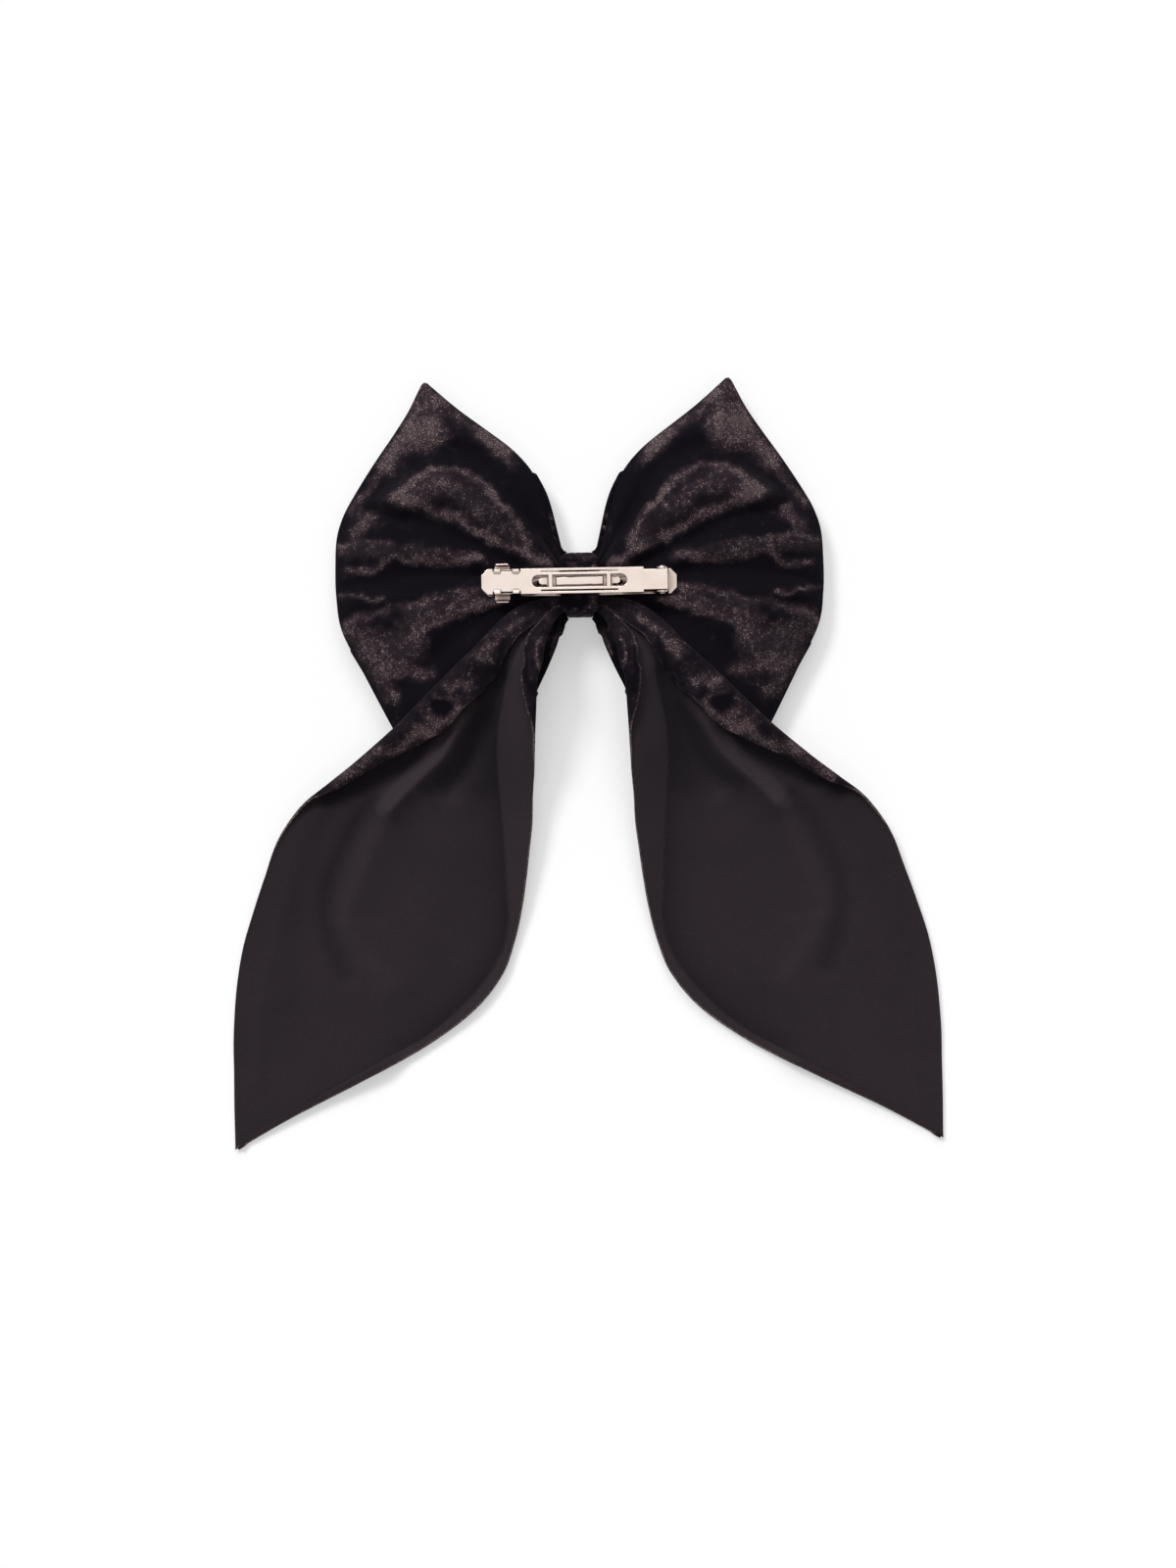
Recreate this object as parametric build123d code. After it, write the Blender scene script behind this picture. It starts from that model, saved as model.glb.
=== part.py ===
"""Hair bow with two long tails on a sprung hair clip, lying face down. Millimetres, +Z up.

The origin is on the surface the bow lies on, straight under the middle of the clip.
X runs along the clip, the hinge at +X and the clasp at -X. The tails point to -Y.
The velvet faces the surface, so the clip is on top: base plate, gap for the hair, arm.
"""
from build123d import *
from math import sqrt
import os

# ---- clip: overall ----
CLIP_LENGTH = 60.6        # tip to tip along X
CLIP_WIDTH = 7.8
CORNER_CUT = 1.9          # chamfer that makes the tips eight-sided
HAIR_GAP = 5.3            # free height between the wrap and the tension spring
SHEET_GAP = 0.1           # between metal sheets that lie on each other

# ---- clip: base plate ----
BASE_T = 0.7
BASE_RISE = 2.0           # how far the flat ends stand above the middle
BASE_ARCH_HALF = 18.0     # half length of the arched middle
SEWING_HOLE_D = 1.8
SEWING_HOLE_X = 12.5

# ---- clip: hinge ----
HINGE_X = 25.6
PIN_D = 1.0
PIN_HEAD_D = 2.2
PIN_HEAD_T = 0.5
PIN_DROP = 1.9            # pin axis below the arm's underside
PIN_RUNNING_GAP = 0.05
PIN_SEAT_GAP = 0.02
EAR_LENGTH = 4.0          # base plate's hinge ears, along X
EAR_T = 0.6
EAR_SIDE_GAP = 0.2        # between an ear and the arm's neck
LUG_LENGTH = 2.8
LUG_T = 0.6

# ---- clip: arm ----
ARM_T = 0.6
ARM_RISE = 0.4
ARM_HINGE_OVERHANG = 1.6  # arm past the pin axis
HEAD_LENGTH = 3.5         # wide head at the clasp end
NECK_LENGTH = 8.6
NECK_HALF = CLIP_WIDTH / 2 - EAR_T - EAR_SIDE_GAP  # where the clasp and the ears stand
HINGE_NECK_LENGTH = 7.4
WINDOW_HALF_X = 8.4
WINDOW_HALF_Y = 1.9
STRAP_LENGTH = 1.2        # bridge between the long window and the round-ended one
D_WINDOW_LENGTH = 5.1
SIDE_SLOT_HALF_X = 11.9
SIDE_SLOT_Y = 2.92
SIDE_SLOT_WIDTH = 0.55

# ---- clip: tension spring ----
SPRING_T = 0.35
SPRING_BOW = 0.9
SPRING_HALF_X = 10.2
SPRING_WIDTH = 4.6
SPRING_TIP_X = 12.6
SPRING_TIP_WIDTH = 2.0
RIB_HALF_X = 7.4
RIB_WIDTH = 2.7
RIB_H = 0.45

# ---- clip: clasp ----
CLASP_T = 0.4
CLASP_SIDE_GAP = 0.25     # arm's neck to the cheek's wall
CLASP_END_GAP = 0.4       # arm's head to the end of the cheek
HOOK_LENGTH = 2.0
HOOK_REACH = 0.65         # how far a hook covers the arm's neck
HOOK_GAP = 0.1            # hook above the arm
PIVOT_LIFT = 0.3          # bend line above the base plate
GRIP_LENGTH = 4.7         # finger tab along X
GRIP_REACH = 1.2          # flat part of the tab
GRIP_CURL_R = 0.7
GRIP_RIM = 0.35
BASE_WAIST_MARGIN = 0.5   # base plate's narrow part past each end of the clasp
RIVET_D = 1.5
RIVET_HEAD_D = 2.8
RIVET_HEAD_T = 0.5
RIVET_TAIL_T = 0.3

# ---- fabric ----
SEAM_Z = 8.1              # height of the seam between the two velvet panels
VELVET_T = 1.0
SOFT_GAP = 0.1
LAYER_GAP = 0.3           # between soft pieces that lie on each other
NECK_W = 12.6             # gathered neck along X
NECK_H = 18.0             # gathered neck along Y
WRAP_W = 12.0
WRAP_T = 1.0
THREAD_D = 0.4
THREAD_TURNS = 5
THREAD_PITCH = 1.2
INTERFACING_T = 0.5
INTERFACING_INSET = 4.0
BACK_NECK_T = 4.2         # gathered back panel inside the wrap
TAIL_NECK_T = 2.7         # gathered tails inside the wrap
TAIL_T = 1.8              # space that a tail takes, with its folds
TAIL_CLEAR = 0.7          # tail above the loops
TAIL_FRONT_H = 2.6        # height of a tail just past the loops
STITCHES = 6              # zigzag that closes the wrap, under the arm
STITCH_LENGTH = 2.2
STITCH_PITCH = 1.6

# A loop's cross-sections, from the neck outwards:
# distance from the middle, half height along Y, rise of the back, drop of the front.
LOOP_STATIONS = [
    (6.3, 9.0, 4.3, 6.5),
    (8.4, 20.5, 5.2, 7.2),
    (11.4, 30.0, 7.0, 7.8),
    (17.0, 38.5, 8.6, 8.3),
    (28.0, 47.0, 9.5, 8.9),
    (49.0, 62.7, 10.4, 9.2),
    (57.0, 48.0, 9.4, 8.6),
    (67.0, 34.0, 7.0, 6.8),
    (74.0, 22.0, 4.4, 4.4),
    (77.1, 10.0, 2.4, 2.4),
]
# A tail's ribs, from the neck to its point: outer end, then inner end.
TAIL_RIBS = [
    ((6.0, -4.8), (6.0, -8.8)),
    ((13.2, -7.7), (9.5, -15.0)),
    ((23.0, -14.2), (11.4, -21.0)),
    ((39.0, -27.4), (12.8, -29.7)),
    ((48.5, -36.0), (13.1, -39.5)),
    ((58.1, -44.9), (13.4, -50.0)),
    ((79.4, -63.0), (14.8, -66.6)),
    ((96.7, -83.4), (16.1, -83.4)),
    ((104.2, -105.2), (20.2, -105.2)),
    ((108.4, -122.0), (27.0, -122.0)),
    ((110.3, -143.9), (49.0, -143.4)),
    ((110.1, -161.0), (79.0, -161.0)),
    ((109.6, -177.6), (108.0, -177.6)),
]
TAIL_RIBS_ON_LOOPS = 7


def arc_height(x, rise, half):
    """Height of a circular arc over its lowest point, at x from the middle."""
    radius = (half**2 + rise**2) / (2 * rise)
    return radius - sqrt(radius**2 - x**2)


# ---- heights, worked out from the floor up ----
THREAD_SPACE = THREAD_D + 2 * SOFT_GAP
BUNDLE_BOTTOM = WRAP_T + THREAD_SPACE
BACK_NECK_BOTTOM = SEAM_Z + INTERFACING_T / 2 + SOFT_GAP / 2
TAIL_NECK_BOTTOM = BACK_NECK_BOTTOM + BACK_NECK_T + SOFT_GAP / 2
BUNDLE_TOP = TAIL_NECK_BOTTOM + TAIL_NECK_T
BASE_Z = BUNDLE_TOP + THREAD_SPACE + SOFT_GAP
PAD_Z = BASE_Z + BASE_RISE
PAD_TOP = PAD_Z + BASE_T
BASE_AT_WRAP = BASE_Z + BASE_T + arc_height(WRAP_W / 2, BASE_RISE, BASE_ARCH_HALF)
WRAP_TOP = BASE_AT_WRAP + SOFT_GAP + WRAP_T
WRAP_HALF_Y = NECK_H / 2 + THREAD_SPACE + WRAP_T
SPRING_Z = WRAP_TOP + HAIR_GAP
SHOULDER_RISE = arc_height(SPRING_HALF_X, SPRING_BOW, SPRING_TIP_X)
ARM_Z = SPRING_Z + SPRING_T + SHOULDER_RISE + SHEET_GAP
HALF_LENGTH = CLIP_LENGTH / 2
HALF_WIDTH = CLIP_WIDTH / 2


def arm_under(x):
    """Height of the arm's underside at x."""
    return ARM_Z + arc_height(x, ARM_RISE, HALF_LENGTH)


PIN_Z = arm_under(HINGE_X) - PIN_DROP
HEAD_X = -HALF_LENGTH + HEAD_LENGTH           # where the arm's neck starts
NECK_END_X = HEAD_X + NECK_LENGTH
CHEEK_X0 = HEAD_X + CLASP_END_GAP
CHEEK_X1 = NECK_END_X - CLASP_END_GAP
CHEEK_MID_X = (CHEEK_X0 + CHEEK_X1) / 2
CHEEK_Y = NECK_HALF + CLASP_SIDE_GAP          # inner face of a cheek
FLOOR_Z = PAD_TOP + SHEET_GAP / 2
PIVOT_Z = PAD_TOP + PIVOT_LIFT
HOOK_Z = arm_under(CHEEK_X0) + ARM_T + HOOK_GAP
ABOVE = 60.0                                  # taller than anything, for cuts


# ---- small helpers ----
def block(x, y, z):
    """Box between two x, two y and two z values."""
    size = (x[1] - x[0], y[1] - y[0], z[1] - z[0])
    centre = ((x[0] + x[1]) / 2, (y[0] + y[1]) / 2, (z[0] + z[1]) / 2)
    return Pos(*centre) * Box(*size)


def upright(sketch):
    """A plan sketch raised into a column that goes through everything."""
    return extrude(sketch, amount=ABOVE)


def along_x(sketch, x0, x1):
    """A sketch of the YZ plane carried from x0 to x1."""
    placed = Plane(origin=(x0, 0, 0), x_dir=(0, 1, 0), z_dir=(1, 0, 0)) * sketch
    return extrude(placed, amount=x1 - x0)


def along_y(sketch, y0, y1):
    """A sketch of the XZ plane carried from y0 to y1."""
    placed = Plane(origin=(0, y1, 0), x_dir=(1, 0, 0), z_dir=(0, -1, 0)) * sketch
    return extrude(placed, amount=y1 - y0)


def arched_band(x0, x1, z_low, rise, half, thickness):
    """Side view of a strip bent to an arc whose lowest point is at x = 0."""
    mid = (x0 + x1) / 2
    low = [(x, z_low + arc_height(x, rise, half)) for x in (x0, mid, x1)]
    high = [(x, z + thickness) for x, z in low]
    edges = (
        ThreePointArc(*low)
        + Line(low[2], high[2])
        + ThreePointArc(*high)
        + Line(high[0], low[0])
    )
    return make_face(edges)


def cylinder_y(radius, y0, y1, x, z):
    """Round bar along Y."""
    return along_y(Pos(x, z) * Circle(radius), y0, y1)


def mirror_y(shape):
    """The same shape on the other side of the clip's centre line."""
    return mirror(shape, about=Plane.XZ)


def mirror_x(shape):
    """The same shape on the other half of the bow."""
    return mirror(shape, about=Plane.YZ)


# ---- clip ----
def base_plate():
    """Stamped plate: arched middle, flat eight-sided ends, two hinge ears."""
    middle = arched_band(-BASE_ARCH_HALF, BASE_ARCH_HALF, BASE_Z, BASE_RISE, BASE_ARCH_HALF, BASE_T)
    strip = along_y(middle, -HALF_WIDTH, HALF_WIDTH)
    for side in (-1, 1):
        ends = sorted((side * BASE_ARCH_HALF, side * HALF_LENGTH))
        strip += block(ends, (-HALF_WIDTH, HALF_WIDTH), (PAD_Z, PAD_TOP))
    outline = Rectangle(CLIP_LENGTH, CLIP_WIDTH)
    outline = chamfer(outline.vertices(), CORNER_CUT)
    waist_length = CHEEK_X1 - CHEEK_X0 + 2 * BASE_WAIST_MARGIN
    waist_depth = HALF_WIDTH - NECK_HALF
    waist = Pos(CHEEK_MID_X, HALF_WIDTH - waist_depth / 2) * Rectangle(waist_length, waist_depth)
    strip &= upright(outline - waist - mirror_y(waist))

    round_top = Pos(HINGE_X, PIN_Z) * Circle(EAR_LENGTH / 2)
    stem = Pos(HINGE_X, (PAD_Z + PIN_Z) / 2) * Rectangle(EAR_LENGTH, PIN_Z - PAD_Z)
    ear = along_y(round_top + stem, HALF_WIDTH - EAR_T, HALF_WIDTH)
    strip += ear + mirror_y(ear)
    strip -= cylinder_y(PIN_D / 2 + PIN_SEAT_GAP, -ABOVE, ABOVE, HINGE_X, PIN_Z)

    for x in (-SEWING_HOLE_X, SEWING_HOLE_X):
        strip -= upright(Pos(x, 0) * Circle(SEWING_HOLE_D / 2))
    return strip - upright(Pos(CHEEK_MID_X, 0) * Circle(RIVET_D / 2 + PIN_SEAT_GAP))


def closing_arm():
    """Long arm with its windows, the narrow neck for the clasp and two hinge lugs."""
    tip_x = HINGE_X + ARM_HINGE_OVERHANG
    side_view = arched_band(-HALF_LENGTH, tip_x, ARM_Z, ARM_RISE, HALF_LENGTH, ARM_T)
    plate = along_y(side_view, -HALF_WIDTH, HALF_WIDTH)
    plan = Pos((tip_x - HALF_LENGTH) / 2, 0) * Rectangle(tip_x + HALF_LENGTH, CLIP_WIDTH)
    plan = chamfer(plan.vertices().group_by(Axis.X)[0], CORNER_CUT)
    plate &= upright(plan)

    notch_depth = HALF_WIDTH - NECK_HALF
    notch_y = HALF_WIDTH - notch_depth / 2
    clasp_notch = Pos((HEAD_X + NECK_END_X) / 2, notch_y) * Rectangle(NECK_LENGTH, notch_depth)
    hinge_notch = Pos(tip_x - HINGE_NECK_LENGTH / 2, notch_y) * Rectangle(HINGE_NECK_LENGTH, notch_depth)
    cuts = clasp_notch + mirror_y(clasp_notch) + hinge_notch + mirror_y(hinge_notch)
    cuts += Rectangle(2 * WINDOW_HALF_X, 2 * WINDOW_HALF_Y)
    slot = Pos(0, SIDE_SLOT_Y) * Rectangle(2 * SIDE_SLOT_HALF_X, SIDE_SLOT_WIDTH)
    cuts += slot + mirror_y(slot)
    d_start = WINDOW_HALF_X + STRAP_LENGTH
    straight = D_WINDOW_LENGTH - WINDOW_HALF_Y
    d_window = Pos(d_start + straight / 2, 0) * Rectangle(straight, 2 * WINDOW_HALF_Y)
    d_window += Pos(d_start + straight, 0) * Circle(WINDOW_HALF_Y)
    cuts += d_window + mirror_x(d_window)
    plate -= upright(cuts)

    lug_top = arm_under(HINGE_X) + ARM_T / 2
    lug_face = Pos(HINGE_X, PIN_Z) * Circle(LUG_LENGTH / 2)
    lug_face += Pos(HINGE_X, (lug_top + PIN_Z) / 2) * Rectangle(LUG_LENGTH, lug_top - PIN_Z)
    lug = along_y(lug_face, NECK_HALF - LUG_T, NECK_HALF)
    plate += lug + mirror_y(lug)
    return plate - cylinder_y(PIN_D / 2 + PIN_RUNNING_GAP, -ABOVE, ABOVE, HINGE_X, PIN_Z)


def tension_spring():
    """Bowed leaf under the arm: its rib shows in the long window, its tips in the round-ended ones."""
    leaf_side = arched_band(-SPRING_TIP_X, SPRING_TIP_X, SPRING_Z, SPRING_BOW, SPRING_TIP_X, SPRING_T)
    leaf = along_y(leaf_side, -SPRING_WIDTH / 2, SPRING_WIDTH / 2)
    plan = Rectangle(2 * SPRING_HALF_X, SPRING_WIDTH)
    plan += SlotOverall(2 * SPRING_TIP_X, SPRING_TIP_WIDTH)
    leaf &= upright(plan)
    rib_z = SPRING_Z + SPRING_T / 2
    rib_side = arched_band(-RIB_HALF_X, RIB_HALF_X, rib_z, SPRING_BOW, SPRING_TIP_X, SPRING_T / 2 + RIB_H)
    rib = along_y(rib_side, -RIB_WIDTH / 2, RIB_WIDTH / 2)
    rim = rib.faces().sort_by(Axis.Z)[-1].edges()
    return leaf + fillet(rim, RIB_H * 0.8)


def hinge_pin():
    """Pin through the ears and lugs, with a head at each end."""
    head_y = HALF_WIDTH + PIN_SEAT_GAP
    pin = cylinder_y(PIN_D / 2, -head_y, head_y, HINGE_X, PIN_Z)
    head = cylinder_y(PIN_HEAD_D / 2, head_y, head_y + PIN_HEAD_T, HINGE_X, PIN_Z)
    outer = head.faces().sort_by(Axis.Y)[-1].edges()
    head = fillet(outer, PIN_HEAD_T * 0.7)
    return pin + head + mirror_y(head)


def upright_bar(radius, z0, z1):
    """Round bar on the rivet's axis."""
    centre = Plane(origin=(CHEEK_MID_X, 0, z0))
    return extrude(centre * Circle(radius), amount=z1 - z0)


def clasp_floor():
    """Middle of the clasp, riveted to the base plate."""
    plate = block((CHEEK_X0, CHEEK_X1), (-NECK_HALF, NECK_HALF), (FLOOR_Z, FLOOR_Z + CLASP_T))
    return plate - upright(Pos(CHEEK_MID_X, 0) * Circle(RIVET_D / 2 + PIN_SEAT_GAP))


def clasp_rivet():
    """Rivet with a round head over the clasp and a flat tail under the base plate."""
    foot = PAD_Z - SHEET_GAP / 2
    top = FLOOR_Z + CLASP_T + SHEET_GAP / 2
    shank = upright_bar(RIVET_D / 2, foot, top)
    head = upright_bar(RIVET_HEAD_D / 2, top, top + RIVET_HEAD_T)
    head = fillet(head.faces().sort_by(Axis.Z)[-1].edges(), RIVET_HEAD_T * 0.8)
    flat_end = upright_bar(RIVET_HEAD_D * 0.4, foot - RIVET_TAIL_T, foot)
    return shank + head + flat_end


def clasp_cheek():
    """One side of the clasp: wall, two hooks over the arm, finger tab below."""
    outer_y = CHEEK_Y + CLASP_T
    wall_bottom = PIVOT_Z - CLASP_T / 2
    cheek = block((CHEEK_X0, CHEEK_X1), (CHEEK_Y, outer_y), (wall_bottom, HOOK_Z))
    waist_x = (CHEEK_X0 + HOOK_LENGTH, CHEEK_X1 - HOOK_LENGTH)
    cheek -= block(waist_x, (CHEEK_Y, outer_y), (arm_under(CHEEK_MID_X) - CLASP_T, HOOK_Z))
    hook_face = Polygon(
        (outer_y, HOOK_Z),
        (outer_y, HOOK_Z + CLASP_T * 1.4),
        (CHEEK_Y - CLASP_SIDE_GAP, HOOK_Z + CLASP_T * 1.4),
        (NECK_HALF - HOOK_REACH, HOOK_Z + CLASP_T / 2),
        (NECK_HALF - HOOK_REACH, HOOK_Z),
        align=None,
    )
    for x0 in (CHEEK_X0, CHEEK_X1 - HOOK_LENGTH):
        cheek += along_x(hook_face, x0, x0 + HOOK_LENGTH)

    curl_y = outer_y + GRIP_REACH
    curl_z = wall_bottom + CLASP_T + GRIP_CURL_R
    ring = Circle(GRIP_CURL_R + CLASP_T) - Circle(GRIP_CURL_R)
    quarter = Rectangle(ABOVE, ABOVE, align=(Align.MIN, Align.MAX))
    tab = Pos(curl_y, curl_z) * (ring & quarter)
    flat_size = (curl_y - outer_y + CLASP_T / 2, CLASP_T)
    tab += Pos(curl_y, wall_bottom) * Rectangle(*flat_size, align=(Align.MAX, Align.MIN))
    tab += Pos(curl_y + GRIP_CURL_R, curl_z) * Rectangle(CLASP_T, GRIP_RIM, align=Align.MIN)
    grip = along_x(tab, CHEEK_X0, CHEEK_X0 + GRIP_LENGTH)
    plan_reach = GRIP_REACH + GRIP_CURL_R + 2 * CLASP_T
    plan = Pos(CHEEK_X0 + GRIP_LENGTH / 2, outer_y - CLASP_T / 2) * Rectangle(
        GRIP_LENGTH, plan_reach, align=(Align.CENTER, Align.MIN)
    )
    corners = plan.vertices().group_by(Axis.Y)[-1]
    return cheek + (grip & upright(fillet(corners, GRIP_LENGTH * 0.3)))


# ---- velvet bow ----
def loop_section(x, half, rise, side):
    """Arch of one panel at x: side 1 is the back panel, -1 the front panel."""
    seam = SEAM_Z + side * SOFT_GAP / 2
    arch = ThreePointArc((half, seam), (0, seam + side * rise), (-half, seam))
    face = make_face(arch + Line((-half, seam), (half, seam)))
    return Plane(origin=(x, 0, 0), x_dir=(0, 1, 0), z_dir=(1, 0, 0)) * face


def loop_body(side, inset):
    """One loop's dome on one side of the seam, or its hollow if inset is a wall."""
    first, last = LOOP_STATIONS[0][0], LOOP_STATIONS[-1][0]
    sections = []
    for x, half, back, front in LOOP_STATIONS:
        if x == first:
            x += inset
        if x == last:
            x -= inset
        rise = back if side > 0 else front
        sections.append(loop_section(x, half - inset, rise - inset, side))
    return loft(sections, ruled=True)


def bow_panel(side):
    """One velvet panel: both domed loops and the gathered neck between them."""
    everything = (-2 * ABOVE, 2 * ABOVE)
    shell = loop_body(side, 0) & block(everything, everything, (0, ABOVE))
    hollow = loop_body(side, VELVET_T) & block(everything, everything, (VELVET_T, ABOVE))
    loop = shell - hollow
    if side > 0:
        neck_z = (BACK_NECK_BOTTOM, BACK_NECK_BOTTOM + BACK_NECK_T)
    else:
        neck_z = (BUNDLE_BOTTOM, SEAM_Z - INTERFACING_T / 2 - SOFT_GAP / 2)
    neck = block((-NECK_W / 2, NECK_W / 2), (-NECK_H / 2, NECK_H / 2), neck_z)
    panel = loop + mirror_x(loop) + neck
    slot_x = LOOP_STATIONS[1][0] + VELVET_T
    slot_y = NECK_H / 2 - SOFT_GAP
    slot_z = INTERFACING_T / 2 + SOFT_GAP / 2
    return panel - block((-slot_x, slot_x), (-slot_y, slot_y), (SEAM_Z - slot_z, SEAM_Z + slot_z))


def bow_interfacing():
    """Stiff sheet between the panels, cut a little smaller than they are."""
    edge = [(x, half) for x, half, _, _ in LOOP_STATIONS]
    right = edge + [(x, -y) for x, y in reversed(edge)]
    left = [(-x, -y) for x, y in edge] + [(-x, y) for x, y in reversed(edge)]
    outline = Polygon(*right, *left, align=None)
    outline = offset(outline, amount=-INTERFACING_INSET, kind=Kind.INTERSECTION)
    return Pos(0, 0, SEAM_Z) * extrude(outline, amount=INTERFACING_T / 2, both=True)


# ---- tails ----
def back_top(x, y):
    """Height of the bow's back at a point, or 0 off the bow."""
    for (x0, half0, rise0, _), (x1, half1, rise1, _) in zip(LOOP_STATIONS, LOOP_STATIONS[1:]):
        if x0 <= x <= x1:
            share = (x - x0) / (x1 - x0)
            half = half0 + share * (half1 - half0)
            rise = rise0 + share * (rise1 - rise0)
            if abs(y) <= half:
                return SEAM_Z + rise * (1 - (y / half) ** 2)
    return 0.0


def rib_height(outer, inner):
    """Lowest height at which a level rib lies clear of the loop."""
    samples = 12
    heights = []
    for i in range(samples + 1):
        share = i / samples
        x = outer[0] + share * (inner[0] - outer[0])
        y = outer[1] + share * (inner[1] - outer[1])
        heights.append(back_top(x, y))
    return max(heights) + TAIL_CLEAR


def tail():
    """The +X tail: it leaves the neck, lies on the loop and ends flat in a point."""
    faces = []
    for number, (outer, inner) in enumerate(TAIL_RIBS):
        if number == 0:
            low = TAIL_NECK_BOTTOM + SOFT_GAP
            high = BUNDLE_TOP - SOFT_GAP
        elif number < TAIL_RIBS_ON_LOOPS:
            low = max(rib_height(outer, inner), SEAM_Z + TAIL_CLEAR)
            high = low + TAIL_T
        else:
            low = TAIL_FRONT_H if number == TAIL_RIBS_ON_LOOPS else 0.0
            high = low + TAIL_T
        corners = [(*outer, low), (*inner, low), (*inner, high), (*outer, high)]
        faces.append(Face(Wire(Polyline(*corners, close=True).edges())))
    neck_x = (LAYER_GAP / 2, NECK_W / 2 - LAYER_GAP)
    neck = block(neck_x, (-NECK_H / 2, NECK_H / 2), (TAIL_NECK_BOTTOM, BUNDLE_TOP))
    return neck + loft(faces, ruled=True)


# ---- centre ----
def rounded_outline(half_y, z0, z1, radius):
    """Rounded rectangle of the YZ plane, as a sketch."""
    mid_z = (z0 + z1) / 2
    return Pos(0, mid_z) * RectangleRounded(2 * half_y, z1 - z0, radius)


def centre_wrap():
    """Velvet band round the gathered neck and over the clip's base plate."""
    outer = rounded_outline(WRAP_HALF_Y, 0, WRAP_TOP, 2.4)
    inner = rounded_outline(WRAP_HALF_Y - WRAP_T, WRAP_T, WRAP_TOP - WRAP_T, 0.5)
    return along_x(outer - inner, -WRAP_W / 2, WRAP_W / 2)


def binding_thread():
    """Turns of thread that pull the neck together, with the loose end tucked across them."""
    half_y = NECK_H / 2 + THREAD_SPACE / 2
    z0 = BUNDLE_BOTTOM - THREAD_SPACE / 2
    z1 = BUNDLE_TOP + THREAD_SPACE / 2
    outer = rounded_outline(half_y + THREAD_D / 2, z0 - THREAD_D / 2, z1 + THREAD_D / 2, 0.6)
    inner = rounded_outline(half_y - THREAD_D / 2, z0 + THREAD_D / 2, z1 - THREAD_D / 2, 0.2)
    reach = (THREAD_TURNS - 1) / 2 * THREAD_PITCH
    thread = Pos(0, half_y, (z0 + z1) / 2) * Box(2 * reach, THREAD_D, THREAD_D)
    for turn in range(THREAD_TURNS):
        x = turn * THREAD_PITCH - reach
        thread += along_x(outer - inner, x - THREAD_D / 2, x + THREAD_D / 2)
    return thread


def wrap_stitches():
    """Zigzag of thread that closes the wrap's ends on top of the base plate."""
    z = WRAP_TOP + THREAD_D / 2 + SOFT_GAP / 2
    points = []
    for number in range(STITCHES + 1):
        x = (number - STITCHES / 2) * STITCH_PITCH
        y = STITCH_LENGTH / 2 if number % 2 else -STITCH_LENGTH / 2
        points.append((x, y, z))
    path = Polyline(*points)
    return sweep((path ^ 0) * Circle(THREAD_D / 2), path=path, transition=Transition.ROUND)


def main():
    """Builds every piece and writes one STEP file for each."""
    cheek = clasp_cheek()
    right_tail = tail()
    pieces = {
        "base_plate": base_plate(),
        "closing_arm": closing_arm(),
        "tension_spring": tension_spring(),
        "hinge_pin": hinge_pin(),
        "clasp_floor": clasp_floor(),
        "clasp_rivet": clasp_rivet(),
        "clasp_cheek_upper": cheek,
        "clasp_cheek_lower": mirror_y(cheek),
        "bow_back_panel": bow_panel(1),
        "bow_front_panel": bow_panel(-1),
        "bow_interfacing": bow_interfacing(),
        "tail_right": right_tail,
        "tail_left": mirror_x(right_tail),
        "centre_wrap": centre_wrap(),
        "binding_thread": binding_thread(),
        "wrap_stitches": wrap_stitches(),
    }
    os.makedirs("parts", exist_ok=True)
    for name, piece in pieces.items():
        export_step(piece, f"parts/{name}.step")
    print(f"base plate z {BASE_Z:.2f}, flat ends z {PAD_Z:.2f}, wrap top z {WRAP_TOP:.2f}")
    print(f"spring z {SPRING_Z:.2f}, arm z {ARM_Z:.2f}, hinge pin x {HINGE_X} z {PIN_Z:.3f}")
    print(f"clasp bend y {CHEEK_Y:.2f} z {PIVOT_Z:.2f}, hooks z {HOOK_Z:.2f}")


main()
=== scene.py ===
"""Looks of a velvet hair bow with two long tails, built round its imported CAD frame.

The bow lies face down: floor at z = 0, clip on top. Sizes in the classes are in millimetres.
X runs along the clip, and the tails point to -Y. Every shape is worked out for the +X half of
the bow and turned outwards a little, and the other half is its mirror image.
"""

import logging
from dataclasses import dataclass
from enum import Enum

import bpy
import numpy as np
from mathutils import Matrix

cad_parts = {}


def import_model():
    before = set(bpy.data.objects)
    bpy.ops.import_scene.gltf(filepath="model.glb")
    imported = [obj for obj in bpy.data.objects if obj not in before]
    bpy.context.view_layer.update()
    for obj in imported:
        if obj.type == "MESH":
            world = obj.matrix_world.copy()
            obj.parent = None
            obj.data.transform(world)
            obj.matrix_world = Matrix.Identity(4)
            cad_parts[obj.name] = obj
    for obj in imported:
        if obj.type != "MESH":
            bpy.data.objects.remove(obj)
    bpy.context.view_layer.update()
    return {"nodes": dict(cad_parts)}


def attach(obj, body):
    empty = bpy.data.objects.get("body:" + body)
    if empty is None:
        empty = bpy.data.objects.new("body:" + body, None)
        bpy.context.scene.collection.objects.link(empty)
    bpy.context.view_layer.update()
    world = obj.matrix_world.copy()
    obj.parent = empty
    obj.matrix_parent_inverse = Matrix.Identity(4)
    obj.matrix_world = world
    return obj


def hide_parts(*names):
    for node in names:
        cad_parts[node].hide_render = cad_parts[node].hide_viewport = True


MM = 0.001
SPLAY = 0.0171  # turn of each half of the cloth away from the middle, in radians
LATTICE = 64  # random values along each side of a noise field, before it repeats
RAGGED = ((6.5, 1.0), (2.6, 0.62), (1.2, 0.40))  # step and share of each noise in a ragged edge
TINY = 1e-12
log = logging.getLogger("hair_bow")

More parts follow.
